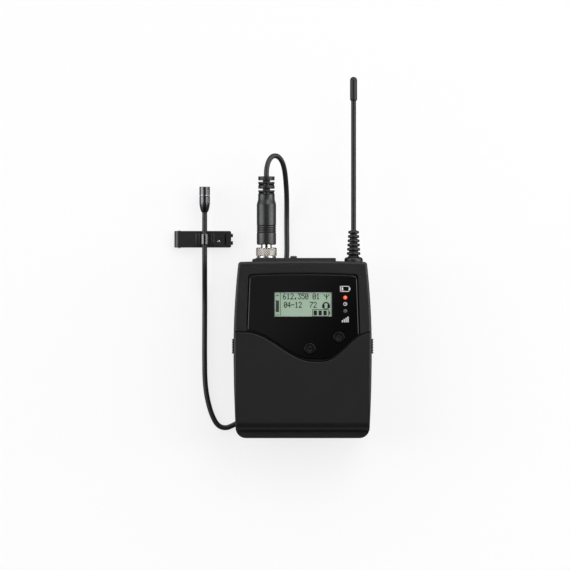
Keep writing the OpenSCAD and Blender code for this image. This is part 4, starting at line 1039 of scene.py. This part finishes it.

# %% [markdown]
# The nut screws down on a bright ring round the jack, whose eight notches show where a key grips it. The notches
# are painted dark as shade.

# %% Socket ring
SEAT_LOW, SEAT_HIGH, SEAT_R, SEAT_BORE_R = 27.8, 28.6, 4.4, 3.95
NOTCH_STEP, NOTCH_HALF = 45, 11.3
seat = turned("socket_seat", JACK, [
    (SEAT_LOW, SEAT_R - 0.1), (SEAT_LOW + 0.1, SEAT_R), (SEAT_HIGH - 0.1, SEAT_R), (SEAT_HIGH, SEAT_R - 0.1),
    (SEAT_HIGH, SEAT_BORE_R), (SEAT_LOW, SEAT_BORE_R), (SEAT_LOW, SEAT_R - 0.1)],
    nickel_plate, "pack", steps=64)


def in_notch(middle, radius):
    """Whether a face of the ring lies in a notch and outside a radius."""
    return off_axis(middle) > radius and round_turn(middle, NOTCH_STEP) < NOTCH_HALF


press_faces(seat, lambda m: in_notch(m, SEAT_R - 0.04), (JACK[0], 28, JACK[2]), 0.93)
# Painted shade: the faces inside the notches get the near-black finish.
second_finish(seat, painted_groove_shade, lambda m: in_notch(m, SEAT_BORE_R + 0.08))

# %% [markdown]
# The antenna is a spring-steel whip inside a rubber skin. Its boot has six rings that thin out upwards, and a round
# flange where it is screwed into the case. The tip is a thicker moulded sleeve with a round end.

# %% Antenna
MAST = (23.2, 0, 18.6)
FLANGE_R, SKIN_R = 4.2, 1.13
RING_LOW, RING_STEP, RING_COUNT = 28.9, 1.933, 6
RING_R, RING_TAPER, RING_MIDDLE = 3.1, 0.65, 0.92
RING_SIDE = ((0.76, 0.95), (0.62, 0.3), (0.5, 0.08), (0.32, 0))
TIP_LOW, TIP_R, TIP_TOP = 99.3, 1.62, 110.2
mast_steps = [(22.7, 1.63), (25.8, 1.63), (25.8, FLANGE_R - 0.1), (25.9, FLANGE_R), (27.1, FLANGE_R), (27.4, 4.12),
              (27.75, 3.9), (28.05, 3.5), (28.3, 2.6)]
for ring in range(RING_COUNT):
    middle = RING_LOW + ring * RING_STEP + RING_MIDDLE
    out = RING_R - RING_TAPER * ring / (RING_COUNT - 1)
    mast_steps += [(middle - along, out - down) for along, down in RING_SIDE]
    mast_steps += [(middle + along, out - down) for along, down in reversed(RING_SIDE)]
mast = turned("antenna_boot_rings", MAST, mast_steps + [(40.2, 1.5), (40.5, 1.3)], soft_rubber, "pack")
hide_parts("antenna_boot")
rod = turned("antenna_skin", MAST, [(40.4, SKIN_R - 0.03), (40.5, SKIN_R), (TIP_LOW, SKIN_R), (99.4, SKIN_R - 0.03)],
             mast_skin, "pack", steps=48)
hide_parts("antenna_rod")
dome = [(TIP_TOP - TIP_R + TIP_R * math.sin(math.radians(a)), TIP_R * math.cos(math.radians(a)))
        for a in range(0, 86, 9)]
tip = turned("antenna_tip_sleeve", MAST, [(TIP_LOW, 1.2), (99.4, 1.42), (99.6, 1.52), (100.0, TIP_R)] + dome,
             mast_skin, "pack", steps=56)
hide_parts("antenna_tip")
print("antenna rings:", RING_COUNT, "top at mm:", TIP_TOP)

# %% [markdown]
# The microphone is turned from brass and plated black. Its cap screws on over a fine wire mesh, which keeps dust
# and breath off the capsule. A thin ring of bright steel finish round the foot of the cap is a painted highlight.

# %% Microphone
MIC = (-44.7, 0, 5.65)
MIC_R, MIC_MOUTH_R = 2.4, 1.5
HIGHLIGHT_RING_LOW, HIGHLIGHT_RING_HIGH = 56.2, 56.6
mic_body = turned("mic_barrel", MIC, [
    (48.7, 1.35), (48.95, 1.52), (49.5, 1.76), (50.2, 1.98), (51.0, 2.18), (51.9, 2.32), (52.8, 2.39), (53.6, MIC_R),
    (55.85, MIC_R), (56.0, 2.26)], black_nickel, "pack", steps=80)
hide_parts("mic_body")
mic_cap = turned("mic_cap_sleeve", MIC, [
    (56.0, 2.2), (56.18, 2.2), (56.22, 2.28), (56.32, MIC_R), (56.66, MIC_R), (60.2, MIC_R), (60.36, 2.34),
    (60.4, 2.2), (60.4, 1.6), (60.3, MIC_MOUTH_R), (58.8, MIC_MOUTH_R), (56.0, MIC_MOUTH_R), (56.0, 2.2)],
    black_nickel, "pack", steps=80)
# Painted highlight: a thin ring of bright steel finish along the seam at the foot of the cap.
second_finish(mic_cap, screw_steel, lambda m: HIGHLIGHT_RING_LOW < m.y < HIGHLIGHT_RING_HIGH and off_axis(m, MIC) > 2.2)
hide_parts("mic_cap")

# %% [markdown]
# The mesh is two layers of crossed wires in the mouth of the cap, each wire as long as the round opening is there.
# Real mesh is about 0.1 mm apart, and it is drawn three times as coarse so that it shows.

# %% Microphone mesh and capsule
WIRE_STEP, WIRE_HALF, MESH_R = 0.33, 0.07, 1.48
LOWER_WIRES, UPPER_WIRES = (59.66, 59.8), (59.78, 59.92)
wires = []
for number in range(-4, 5):
    shift = number * WIRE_STEP
    half = math.sqrt(MESH_R ** 2 - shift ** 2)
    wires.append(block((MIC[0] + shift - WIRE_HALF, UPPER_WIRES[0], MIC[2] - half),
                       (MIC[0] + shift + WIRE_HALF, UPPER_WIRES[1], MIC[2] + half), 0.03))
    wires.append(block((MIC[0] - half, LOWER_WIRES[0], MIC[2] + shift - WIRE_HALF),
                       (MIC[0] + half, LOWER_WIRES[1], MIC[2] + shift + WIRE_HALF), 0.03))
mesh_disc = join_pieces(wires, "mic_wire_mesh", mesh_wire, "pack")
turned("mic_capsule", MIC, [(58.8, 1.45), (59.3, 1.45), (59.35, 1.4)], mesh_wire, "pack", steps=48)
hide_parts("mic_mesh")
print("mesh wires:", len(wires))

# %% [markdown]
# Signs are printed flat and then get a little thickness, so that they are real meshes. All are made from straight
# strokes, and a curve is a row of short ones.

# %% Strokes and prints
def printed(name, shapes, z, finish, body="pack", thick_mm=0.02):
    """Flat marks from outlines in millimetres at one height, with a little thickness."""
    marks = bmesh.new()
    for shape in shapes:
        marks.faces.new([marks.verts.new((x * MM, y * MM, z * MM)) for x, y in shape])
    piece = as_piece(marks, name)
    only(piece)
    film = piece.modifiers.new("ink_film", "SOLIDIFY")
    film.thickness, film.offset = thick_mm * MM, -1
    bpy.ops.object.modifier_apply(modifier=film.name)
    print(name, "has", len(shapes), "strokes and dots")
    return settle(piece, name, finish, body)


def bar(start, end, width):
    """A straight stroke between two points."""
    start, end = Vector(start), Vector(end)
    run = end - start
    side = Vector((-run.y, run.x)).normalized() * width / 2
    return [tuple(corner) for corner in (start - side, end - side, end + side, start + side)]


def level(y, left, right, width):
    """A stroke that lies level."""
    return bar((left, y), (right, y), width)


def upright(x, low, high, width):
    """A stroke that stands upright."""
    return bar((x, low), (x, high), width)


def bow(middle, radius, start, end, width, steps=12):
    """A stroke along part of a circle, as short bars."""
    turns = [math.radians(a) for a in spread(start, end, steps)]
    ring = [(middle[0] + radius * math.cos(a), middle[1] + radius * math.sin(a)) for a in turns]
    return [bar(a, b, width) for a, b in zip(ring, ring[1:])]


# %% [markdown]
# The display is a dot matrix. A digit is five columns of seven dots, and each column is a number whose bits say
# which dots are on, lowest bit at the top. The digits are plain numbers. Round them stand generic signs: a level
# scale and two bars at the left, and an aerial, a headset and a battery with three blocks at the right.

# %% Display marks
DIGITS = {"0": (62, 81, 73, 69, 62), "1": (0, 66, 127, 64, 0), "2": (66, 97, 81, 73, 70), "3": (33, 65, 69, 75, 49),
          "4": (24, 20, 18, 127, 16), "5": (39, 69, 69, 69, 57), "6": (60, 74, 73, 73, 48), "7": (1, 113, 9, 5, 3),
          "8": (54, 73, 73, 73, 54), "9": (6, 73, 73, 41, 30), ".": (0, 96, 96, 0, 0), "-": (8, 8, 8, 8, 8),
          " ": (0, 0, 0, 0, 0)}
DOT_LEFT, DOT_RIGHT, DOT_HIGH = -0.05, 0.31, 0.4
HEADSET = (10.6, 6.25)
BATTERY_LOW, BATTERY_HIGH, BATTERY_LEFT, BATTERY_RIGHT = 1.3, 4.35, 4.5, 11.7
LCD_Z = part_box("lcd_panel")[1].z / MM


def dot_digits(text, left, top):
    """Squares of a dot-matrix line that starts at a left and top edge."""
    dots = []
    for place, sign in enumerate(text):
        for column, bits in enumerate(DIGITS[sign]):
            x = left + (place * 6 + column) * DOT_X
            for row in range(7):
                y = top - row * DOT_Y
                if bits >> row & 1:
                    dots.append([(x + DOT_LEFT, y - DOT_HIGH), (x + DOT_RIGHT, y - DOT_HIGH), (x + DOT_RIGHT, y),
                                 (x + DOT_LEFT, y)])
    return dots


shapes = dot_digits("612.350 01", -8.9, 11.68) + dot_digits("04-12  72", -8.5, 7.9)
level_scale = [upright(-10.1, 1.5, 12.0, 0.2), level(10.75, -12.0, -10.8, 0.34)]
level_scale += [level(3.5 + 0.48 * i, -12.15, -10.7, 0.42) for i in range(11)]
level_scale += [level(1.95, -12.0, -11.5, 0.3), level(1.95, -11.2, -10.7, 0.3)]
aerial = [upright(10.8, 8.9, 11.5, 0.34)] + [bar((10.8, 9.7), (x, 11.45), 0.3) for x in (9.5, 12.1)]
headset = bow(HEADSET, 1.3, -30, 210, 0.6) + [upright(x, 5.0, 6.6, 1.1) for x in (9.4, 11.8)]
headset += bow(HEADSET, 1.6, 225, 315, 0.34, 8)
battery = [level(y, BATTERY_LEFT - 0.1, BATTERY_RIGHT + 0.1, 0.24) for y in (BATTERY_LOW, BATTERY_HIGH)]
battery += [upright(x, BATTERY_LOW, BATTERY_HIGH, 0.24) for x in (BATTERY_LEFT, BATTERY_RIGHT)]
battery += [upright(x, 1.75, 3.9, 1.5) for x in (5.75, 7.95, 10.15)] + [upright(12.15, 2.1, 3.55, 0.5)]
printed("display_marks", shapes + level_scale + aerial + headset + battery, LCD_Z + 0.02, display_ink)

# %% [markdown]
# The window is printed with small white signs: a battery over the red lamp, a switched-on ring between the lamps and
# a level meter under the grey one.

# %% Window signs
SIGN_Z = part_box("display_window")[1].z / MM + 0.012
SIGN_LEFT, SIGN_RIGHT, SIGN_LOW, SIGN_HIGH = 17.1, 21.0, 12.6, 14.9
RING_SIGN = (19.3, 6.95)
shapes = [level(y, SIGN_LEFT, SIGN_RIGHT, 0.3) for y in (SIGN_LOW, SIGN_HIGH)]
shapes += [upright(x, SIGN_LOW - 0.15, SIGN_HIGH + 0.15, 0.3) for x in (SIGN_LEFT, SIGN_RIGHT)]
shapes += [upright(21.4, 13.2, 14.3, 0.4), upright(18.0, 13.05, 14.45, 0.7)]
shapes += bow(RING_SIGN, 0.72, 125, 415, 0.28) + [upright(RING_SIGN[0], RING_SIGN[1], 7.85, 0.26)]
shapes += [upright(18.0 + 0.85 * i, -1.4, -0.5 + 0.55 * i, 0.5) for i in range(4)]
printed("window_signs", shapes, SIGN_Z, label_ink)

# %% [markdown]
# A button is a silicone cap with a dished top and a flange under the panel that keeps it in. Its raised sign can be
# felt by a finger: arrows up and down on the left button, and a ring with a stroke on the right one.

# %% Buttons and their signs
BUTTONS = {"left": (3.3, -13.4), "right": (16.4, -8.2)}
BUTTON_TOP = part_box("button_left")[1].z / MM
BUTTON_FOOT, FLANGE_LOW, FLANGE_HIGH, BUTTON_FLANGE_R = 26.0, 27.6, 28.4, 3.1
DISHED_TOP = ((0.3, BUTTON_R), (0.12, 2.46), (0.03, 2.34), (0, 2.15), (0.02, 1.95), (0.09, 1.5), (0.16, 0.9),
              (0.19, 0.3))
for side, (x, y) in BUTTONS.items():
    cap = turned(side + "_button_cap", (x, y, 0), [
        (BUTTON_FOOT, BUTTON_R), (FLANGE_LOW, BUTTON_R), (FLANGE_LOW, BUTTON_FLANGE_R),
        (FLANGE_HIGH, BUTTON_FLANGE_R), (FLANGE_HIGH, BUTTON_R)] + [(BUTTON_TOP - down, r) for down, r in DISHED_TOP],
        button_silicone, side + "_button", along="Z", steps=56)
    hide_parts("button_" + side)
x, y = BUTTONS["left"]
arrows = [bar((x + from_x, y + from_y), (x + to_x, y + to_y), 0.28) for from_x, from_y, to_x, to_y in (
    (-0.8, -0.5, 0, -1.2), (0, -1.2, 0.8, -0.5), (-0.8, 0.5, 0, 1.2), (0, 1.2, 0.8, 0.5))]
x, y = BUTTONS["right"]
ring_and_stroke = bow((x, y), 0.95, 130, 410, 0.26) + [upright(x, y + 0.1, y + 1.3, 0.26)]
for side, shapes in (("left", arrows), ("right", ring_and_stroke)):
    printed(side + "_button_sign", shapes, BUTTON_TOP - 0.06, sign_rubber, side + "_button", 0.12)

# %% [markdown]
# Each lamp is a moulded light pipe with a round top that stands a little lower than the window, and a wider foot
# that rests under the panel.

# %% Lamps
LENS_FOOT_R, LENS_SEAT_Z = 1.4, 28.3
for node, finish, slot in (("status_lamp", lit_lens, "lamp_red"), ("peak_lamp", grey_lens, "lamp_grey")):
    low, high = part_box(node)
    top = high.z / MM
    lens = turned(node + "_lens", ((low.x + high.x) / 2 / MM, (low.y + high.y) / 2 / MM, 0), [
        (low.z / MM, LENS_FOOT_R), (LENS_SEAT_Z, LENS_FOOT_R), (LENS_SEAT_Z, LAMP_R), (top - 0.3, LAMP_R),
        (top - 0.14, 0.82), (top - 0.05, 0.62), (top, 0.25)], finish, "pack", along="Z", steps=40)
    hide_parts(node)
    print(lens.name, "top at mm:", round(top, 2))

# %% [markdown]
# The tie clip is bent from lacquered sheet steel. Its front plate rolls round the pin at the left: the sheet's end
# is spun round the pin's axis, as a bending tool would do it. A slot is punched at the other end.

# %% Tie clip plate
TIE_LOW, TIE_HIGH = 32.6, 40.2
TIE_LEFT, TIE_RIGHT = -56.4, -32.6
TIE_TOP, TIE_T, ROLL_Z = 4.4, 0.8, 2.2
ROLL_ANGLE, ROLL_STEPS = 128, 18
SLOT_LEFT, SLOT_RIGHT, SLOT_LOW, SLOT_HIGH = -35.55, -34.95, 34.0, 38.8
plate = block((TIE_LEFT, TIE_LOW, TIE_TOP - TIE_T), (TIE_RIGHT, TIE_HIGH, TIE_TOP))
edit_faces(plate, lambda face: face.normal.x < -0.9)
bpy.ops.mesh.spin(steps=ROLL_STEPS, angle=math.radians(ROLL_ANGLE), center=(TIE_LEFT * MM, 0, ROLL_Z * MM),
                  axis=(0, 1, 0))
bpy.ops.mesh.select_all(action="SELECT")
bpy.ops.mesh.normals_make_consistent(inside=False)
end_edit()
print("plate box:", [round(v / MM, 2) for c in (plate.bound_box[0], plate.bound_box[6]) for v in c])
round_edges(plate, 0.8, 5, where=lambda m: m.x > TIE_RIGHT - 0.1 and abs(m.z - TIE_TOP + TIE_T / 2) < 0.1)
round_edges(plate, 0.22, 3, sharper_than=60)
punch = block((SLOT_LEFT, SLOT_LOW, TIE_TOP - 2), (SLOT_RIGHT, SLOT_HIGH, TIE_TOP + 1))
only(plate)
cut = plate.modifiers.new("slot", "BOOLEAN")
cut.operation, cut.solver, cut.object = "DIFFERENCE", "EXACT", punch
bpy.ops.object.modifier_apply(modifier=cut.name)
bpy.data.objects.remove(punch)

# %% [markdown]
# Two bent-down sides with round ears carry the pin, and four pressed ribs stiffen the plate. They are made as
# pieces of their own and joined to it, which is simpler than bending them from the sheet.

# %% Tie clip sides, ears and ribs
EAR_T, EAR_R, EAR_BORE_R = 0.6, 1.8, 0.62
SIDE_LONG = 5
RIBS, RIB_HALF, RIB_ROUND = (-48.5, -47.1, -41.6, -40.6), 0.3, 0.26
parts = [plate]
for y in (TIE_LOW + 0.05, TIE_HIGH - 0.65):
    parts.append(block((TIE_LEFT, y, 1.4), (TIE_LEFT + SIDE_LONG, y + EAR_T, TIE_TOP - 0.5), 0.12))
    parts.append(block((TIE_LEFT, y, TIE_TOP - 1.3), (TIE_RIGHT - 1.2, y + EAR_T, TIE_TOP - 0.4), 0.12))
    parts.append(turned("ear", (TIE_LEFT, 0, ROLL_Z), [
        (y, EAR_BORE_R), (y, EAR_R - 0.15), (y + 0.15, EAR_R), (y + EAR_T - 0.15, EAR_R), (y + EAR_T, EAR_R - 0.15),
        (y + EAR_T, EAR_BORE_R), (y, EAR_BORE_R)], clip_lacquer, "tie", steps=40))
for x in RIBS:
    parts.append(block((x - RIB_HALF, TIE_LOW + 1.1, TIE_TOP - 0.3), (x + RIB_HALF, TIE_HIGH - 1.1, TIE_TOP + 0.4),
                       RIB_ROUND, 4))
tie_plate = join_pieces(parts, "tie_plate_sheet", clip_lacquer, "tie")
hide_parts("tie_plate")
print("tie plate parts:", len(parts))

# %% [markdown]
# The cord is held by a small polished sleeve that stands on the plate on two walls, and a rivet shows beside it.

# %% Cord holder and rivet
HOLDER_LOW, HOLDER_HIGH, HOLDER_R, HOLDER_BORE_R = 33.9, 38.9, 1.85, 1.28
HOLDER_WALL_X, HOLDER_WALL_HALF = 1.55, 0.3
RIVET = (-38.25, 35.3, 0)
holder = turned("cord_holder", MIC, [
    (HOLDER_LOW, HOLDER_BORE_R), (HOLDER_LOW, 1.7), (34.0, 1.8), (34.2, HOLDER_R), (38.6, HOLDER_R), (38.8, 1.8),
    (HOLDER_HIGH, 1.7), (HOLDER_HIGH, HOLDER_BORE_R), (HOLDER_LOW, HOLDER_BORE_R)],
    holder_nickel, "tie", steps=64)
walls = [block((x - HOLDER_WALL_HALF, HOLDER_LOW, TIE_TOP - 0.1), (x + HOLDER_WALL_HALF, HOLDER_HIGH, MIC[2]), 0.08)
         for x in (MIC[0] - HOLDER_WALL_X, MIC[0] + HOLDER_WALL_X)]
holder = join_pieces([holder] + walls, "tie_cord_holder", holder_nickel, "tie")
turned("tie_rivet", RIVET, [
    (TIE_TOP - 0.2, 0.62), (TIE_TOP + 0.05, 0.62), (TIE_TOP + 0.14, 0.55), (TIE_TOP + 0.18, 0.4),
    (TIE_TOP + 0.19, 0.2)], nickel_plate, "tie", along="Z", steps=32)
print("holder faces:", len(holder.data.polygons))

# %% [markdown]
# The other solids need only softened edges. Each entry says the finish, the slot and the width of the round in
# millimetres, and a width of 0 leaves the edges of the tub, the board and the bent belt clip as they are. The
# battery cover is rounded on its front and round its foot, and stays sharp where it meets the tub.

# %% Dressed copies of the solids
COVER_FRONT_Z, COVER_FOOT_Z, COVER_FOOT_Y = 30.57, 26.1, -53.9
dressed = {
    "rear_housing": (moulded_plastic, "trim_plastic", 0.0), "top_pad": (moulded_plastic, "trim_plastic", 0.2),
    "lcd_panel": (display_film, "lcd", 0.1), "inner_frame": (moulded_plastic, "trim_plastic", 0.2),
    "circuit_board": (solder_mask, "board", 0.0), "hinge_pins": (screw_steel, "steel", 0.1),
    "latch_left": (latch_plastic, "trim_plastic", 0.1), "latch_right": (latch_plastic, "trim_plastic", 0.1),
    "battery_cells": (cell_sleeve, "cell", 0.3), "battery_contacts": (gold_contact, "contact", 0.08),
    "charging_contacts": (gold_contact, "contact", 0.15), "case_screws": (screw_steel, "steel", 0.1),
    "mute_switch": (latch_plastic, "trim_plastic", 0.2), "jack_socket": (screw_steel, "nickel", 0.1),
    "belt_clip": (spring_steel, "steel", 0.0), "belt_clip_pin": (screw_steel, "steel", 0.1),
    "tie_jaw": (clip_lacquer, "tie_metal", 0.06), "tie_pin": (screw_steel, "steel", 0.08)}


def on_cover_rim(middle):
    """Whether an edge of the battery cover is on its front or round its foot."""
    return middle.z > COVER_FRONT_Z or (middle.z > COVER_FOOT_Z and middle.y < COVER_FOOT_Y)


softened("battery_cover", cover_paint, 0.34, segments=3, where=on_cover_rim)
worked = {node: softened(node, finish, width) for node, (finish, slot, width) in dressed.items()}
print("dressed copies:", len(worked) + 1)

# %% [markdown]
# Screws need a drive. The heads on the back have a cross recess: the flat of each head is inset, the points of the
# inset move to the outline of a cross, and the face between them is pushed in. The mute switch gets three ridges.

# %% Screw drives and switch ridges
DRIVE_INSET, DRIVE_R, DRIVE_DEEP, DRIVE_WAIST = 0.9, 1.15, 0.6, 0.32
RIDGES, RIDGE_HALF, RIDGE_LOW, RIDGE_HIGH = (-0.8, 0, 0.8), 0.16, 16.9, 20.3


def cut_drives(piece, head_z):
    """Pushes a cross recess into each flat head that faces down at a height."""
    edit_faces(piece, lambda face: face.normal.z < -0.99 and abs(face.calc_center_median().z / MM - head_z) < 0.05)
    bpy.ops.mesh.inset(thickness=DRIVE_INSET * MM, use_individual=True)
    work = bmesh.from_edit_mesh(piece.data)
    drives = [face for face in work.faces if face.select]
    for face in drives:
        middle = face.calc_center_median()
        for point in face.verts:
            arm = point.co - middle
            lobe = (0.5 + 0.5 * math.cos(4 * math.atan2(arm.y, arm.x))) ** 2
            point.co = middle + arm.normalized() * (DRIVE_R * (DRIVE_WAIST + (1 - DRIVE_WAIST) * lobe)) * MM
    bmesh.update_edit_mesh(piece.data)
    bpy.ops.mesh.extrude_region_move(TRANSFORM_OT_translate={"value": (0, 0, DRIVE_DEEP * MM)})
    end_edit()
    shade(piece)
    return len(drives)


print("screw drives:", cut_drives(worked["case_screws"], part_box("case_screws")[0].z / MM))
low, high = (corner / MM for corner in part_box("mute_switch"))
middle_x = (low.x + high.x) / 2
ridges = [block((middle_x + x - RIDGE_HALF, high.y - 0.15, RIDGE_LOW),
                (middle_x + x + RIDGE_HALF, high.y + 0.22, RIDGE_HIGH), 0.08) for x in RIDGES]
join_pieces([worked["mute_switch"]] + ridges, "mute_switch_dressed", latch_plastic, "switch")

# %% [markdown]
# The floor is matt white card with faint fibres, drawn coarser than real ones. The camera sees it nearly white,
# because part of its light is its own there, and the object's shadow stays on it. Polished pieces see a little of
# that glow. The light that it throws back at the object is that of grey card, so that dark faces stay dark.

# %% Floor finish
SEEN_GLOW, MIRRORED_GLOW, FIBRE_MM = 0.78, 0.12, 2
white_card, tree, place, shader = start_finish("white_card", "#f8f8f8", 0.9)
fibres = add_node(tree, "ShaderNodeTexNoise", {"Vector": place, "Scale": cells(FIBRE_MM), "Detail": 3.0})
card_tone = two_tones(tree, fibres.outputs["Fac"], "#f6f6f6", "#fafafa")
rays = add_node(tree, "ShaderNodeLightPath")
bounce = add_node(tree, "ShaderNodeMix", {0: rays.outputs["Is Camera Ray"], 6: srgb("#666666"), 7: card_tone},
                  data_type="RGBA")
tree.links.new(bounce.outputs[2], shader.inputs["Base Color"])
paper_glow = add_node(tree, "ShaderNodeEmission", {"Color": (1, 1, 1, 1), "Strength": 1.0})
mirrored = add_node(tree, "ShaderNodeMath", {
    0: rays.outputs["Is Glossy Ray"], 1: rays.outputs["Is Transmission Ray"]}, operation="MAXIMUM")
in_mirrors = add_node(tree, "ShaderNodeMath", {0: mirrored.outputs[0], 1: MIRRORED_GLOW}, operation="MULTIPLY")
in_camera = add_node(tree, "ShaderNodeMath", {0: rays.outputs["Is Camera Ray"], 1: SEEN_GLOW}, operation="MULTIPLY")
share = add_node(tree, "ShaderNodeMath", {0: in_mirrors.outputs[0], 1: in_camera.outputs[0]}, operation="MAXIMUM")
mixed = add_node(tree, "ShaderNodeMixShader", {0: share.outputs[0], 1: shader.outputs[0], 2: paper_glow.outputs[0]})
tree.links.new(mixed.outputs[0], tree.nodes["Material Output"].inputs["Surface"])
floor.data.materials.append(white_card)
print("floor finish:", white_card.name)

# %% [markdown]
# The last call updates the view layer.

# %% The end
bpy.context.view_layer.update()
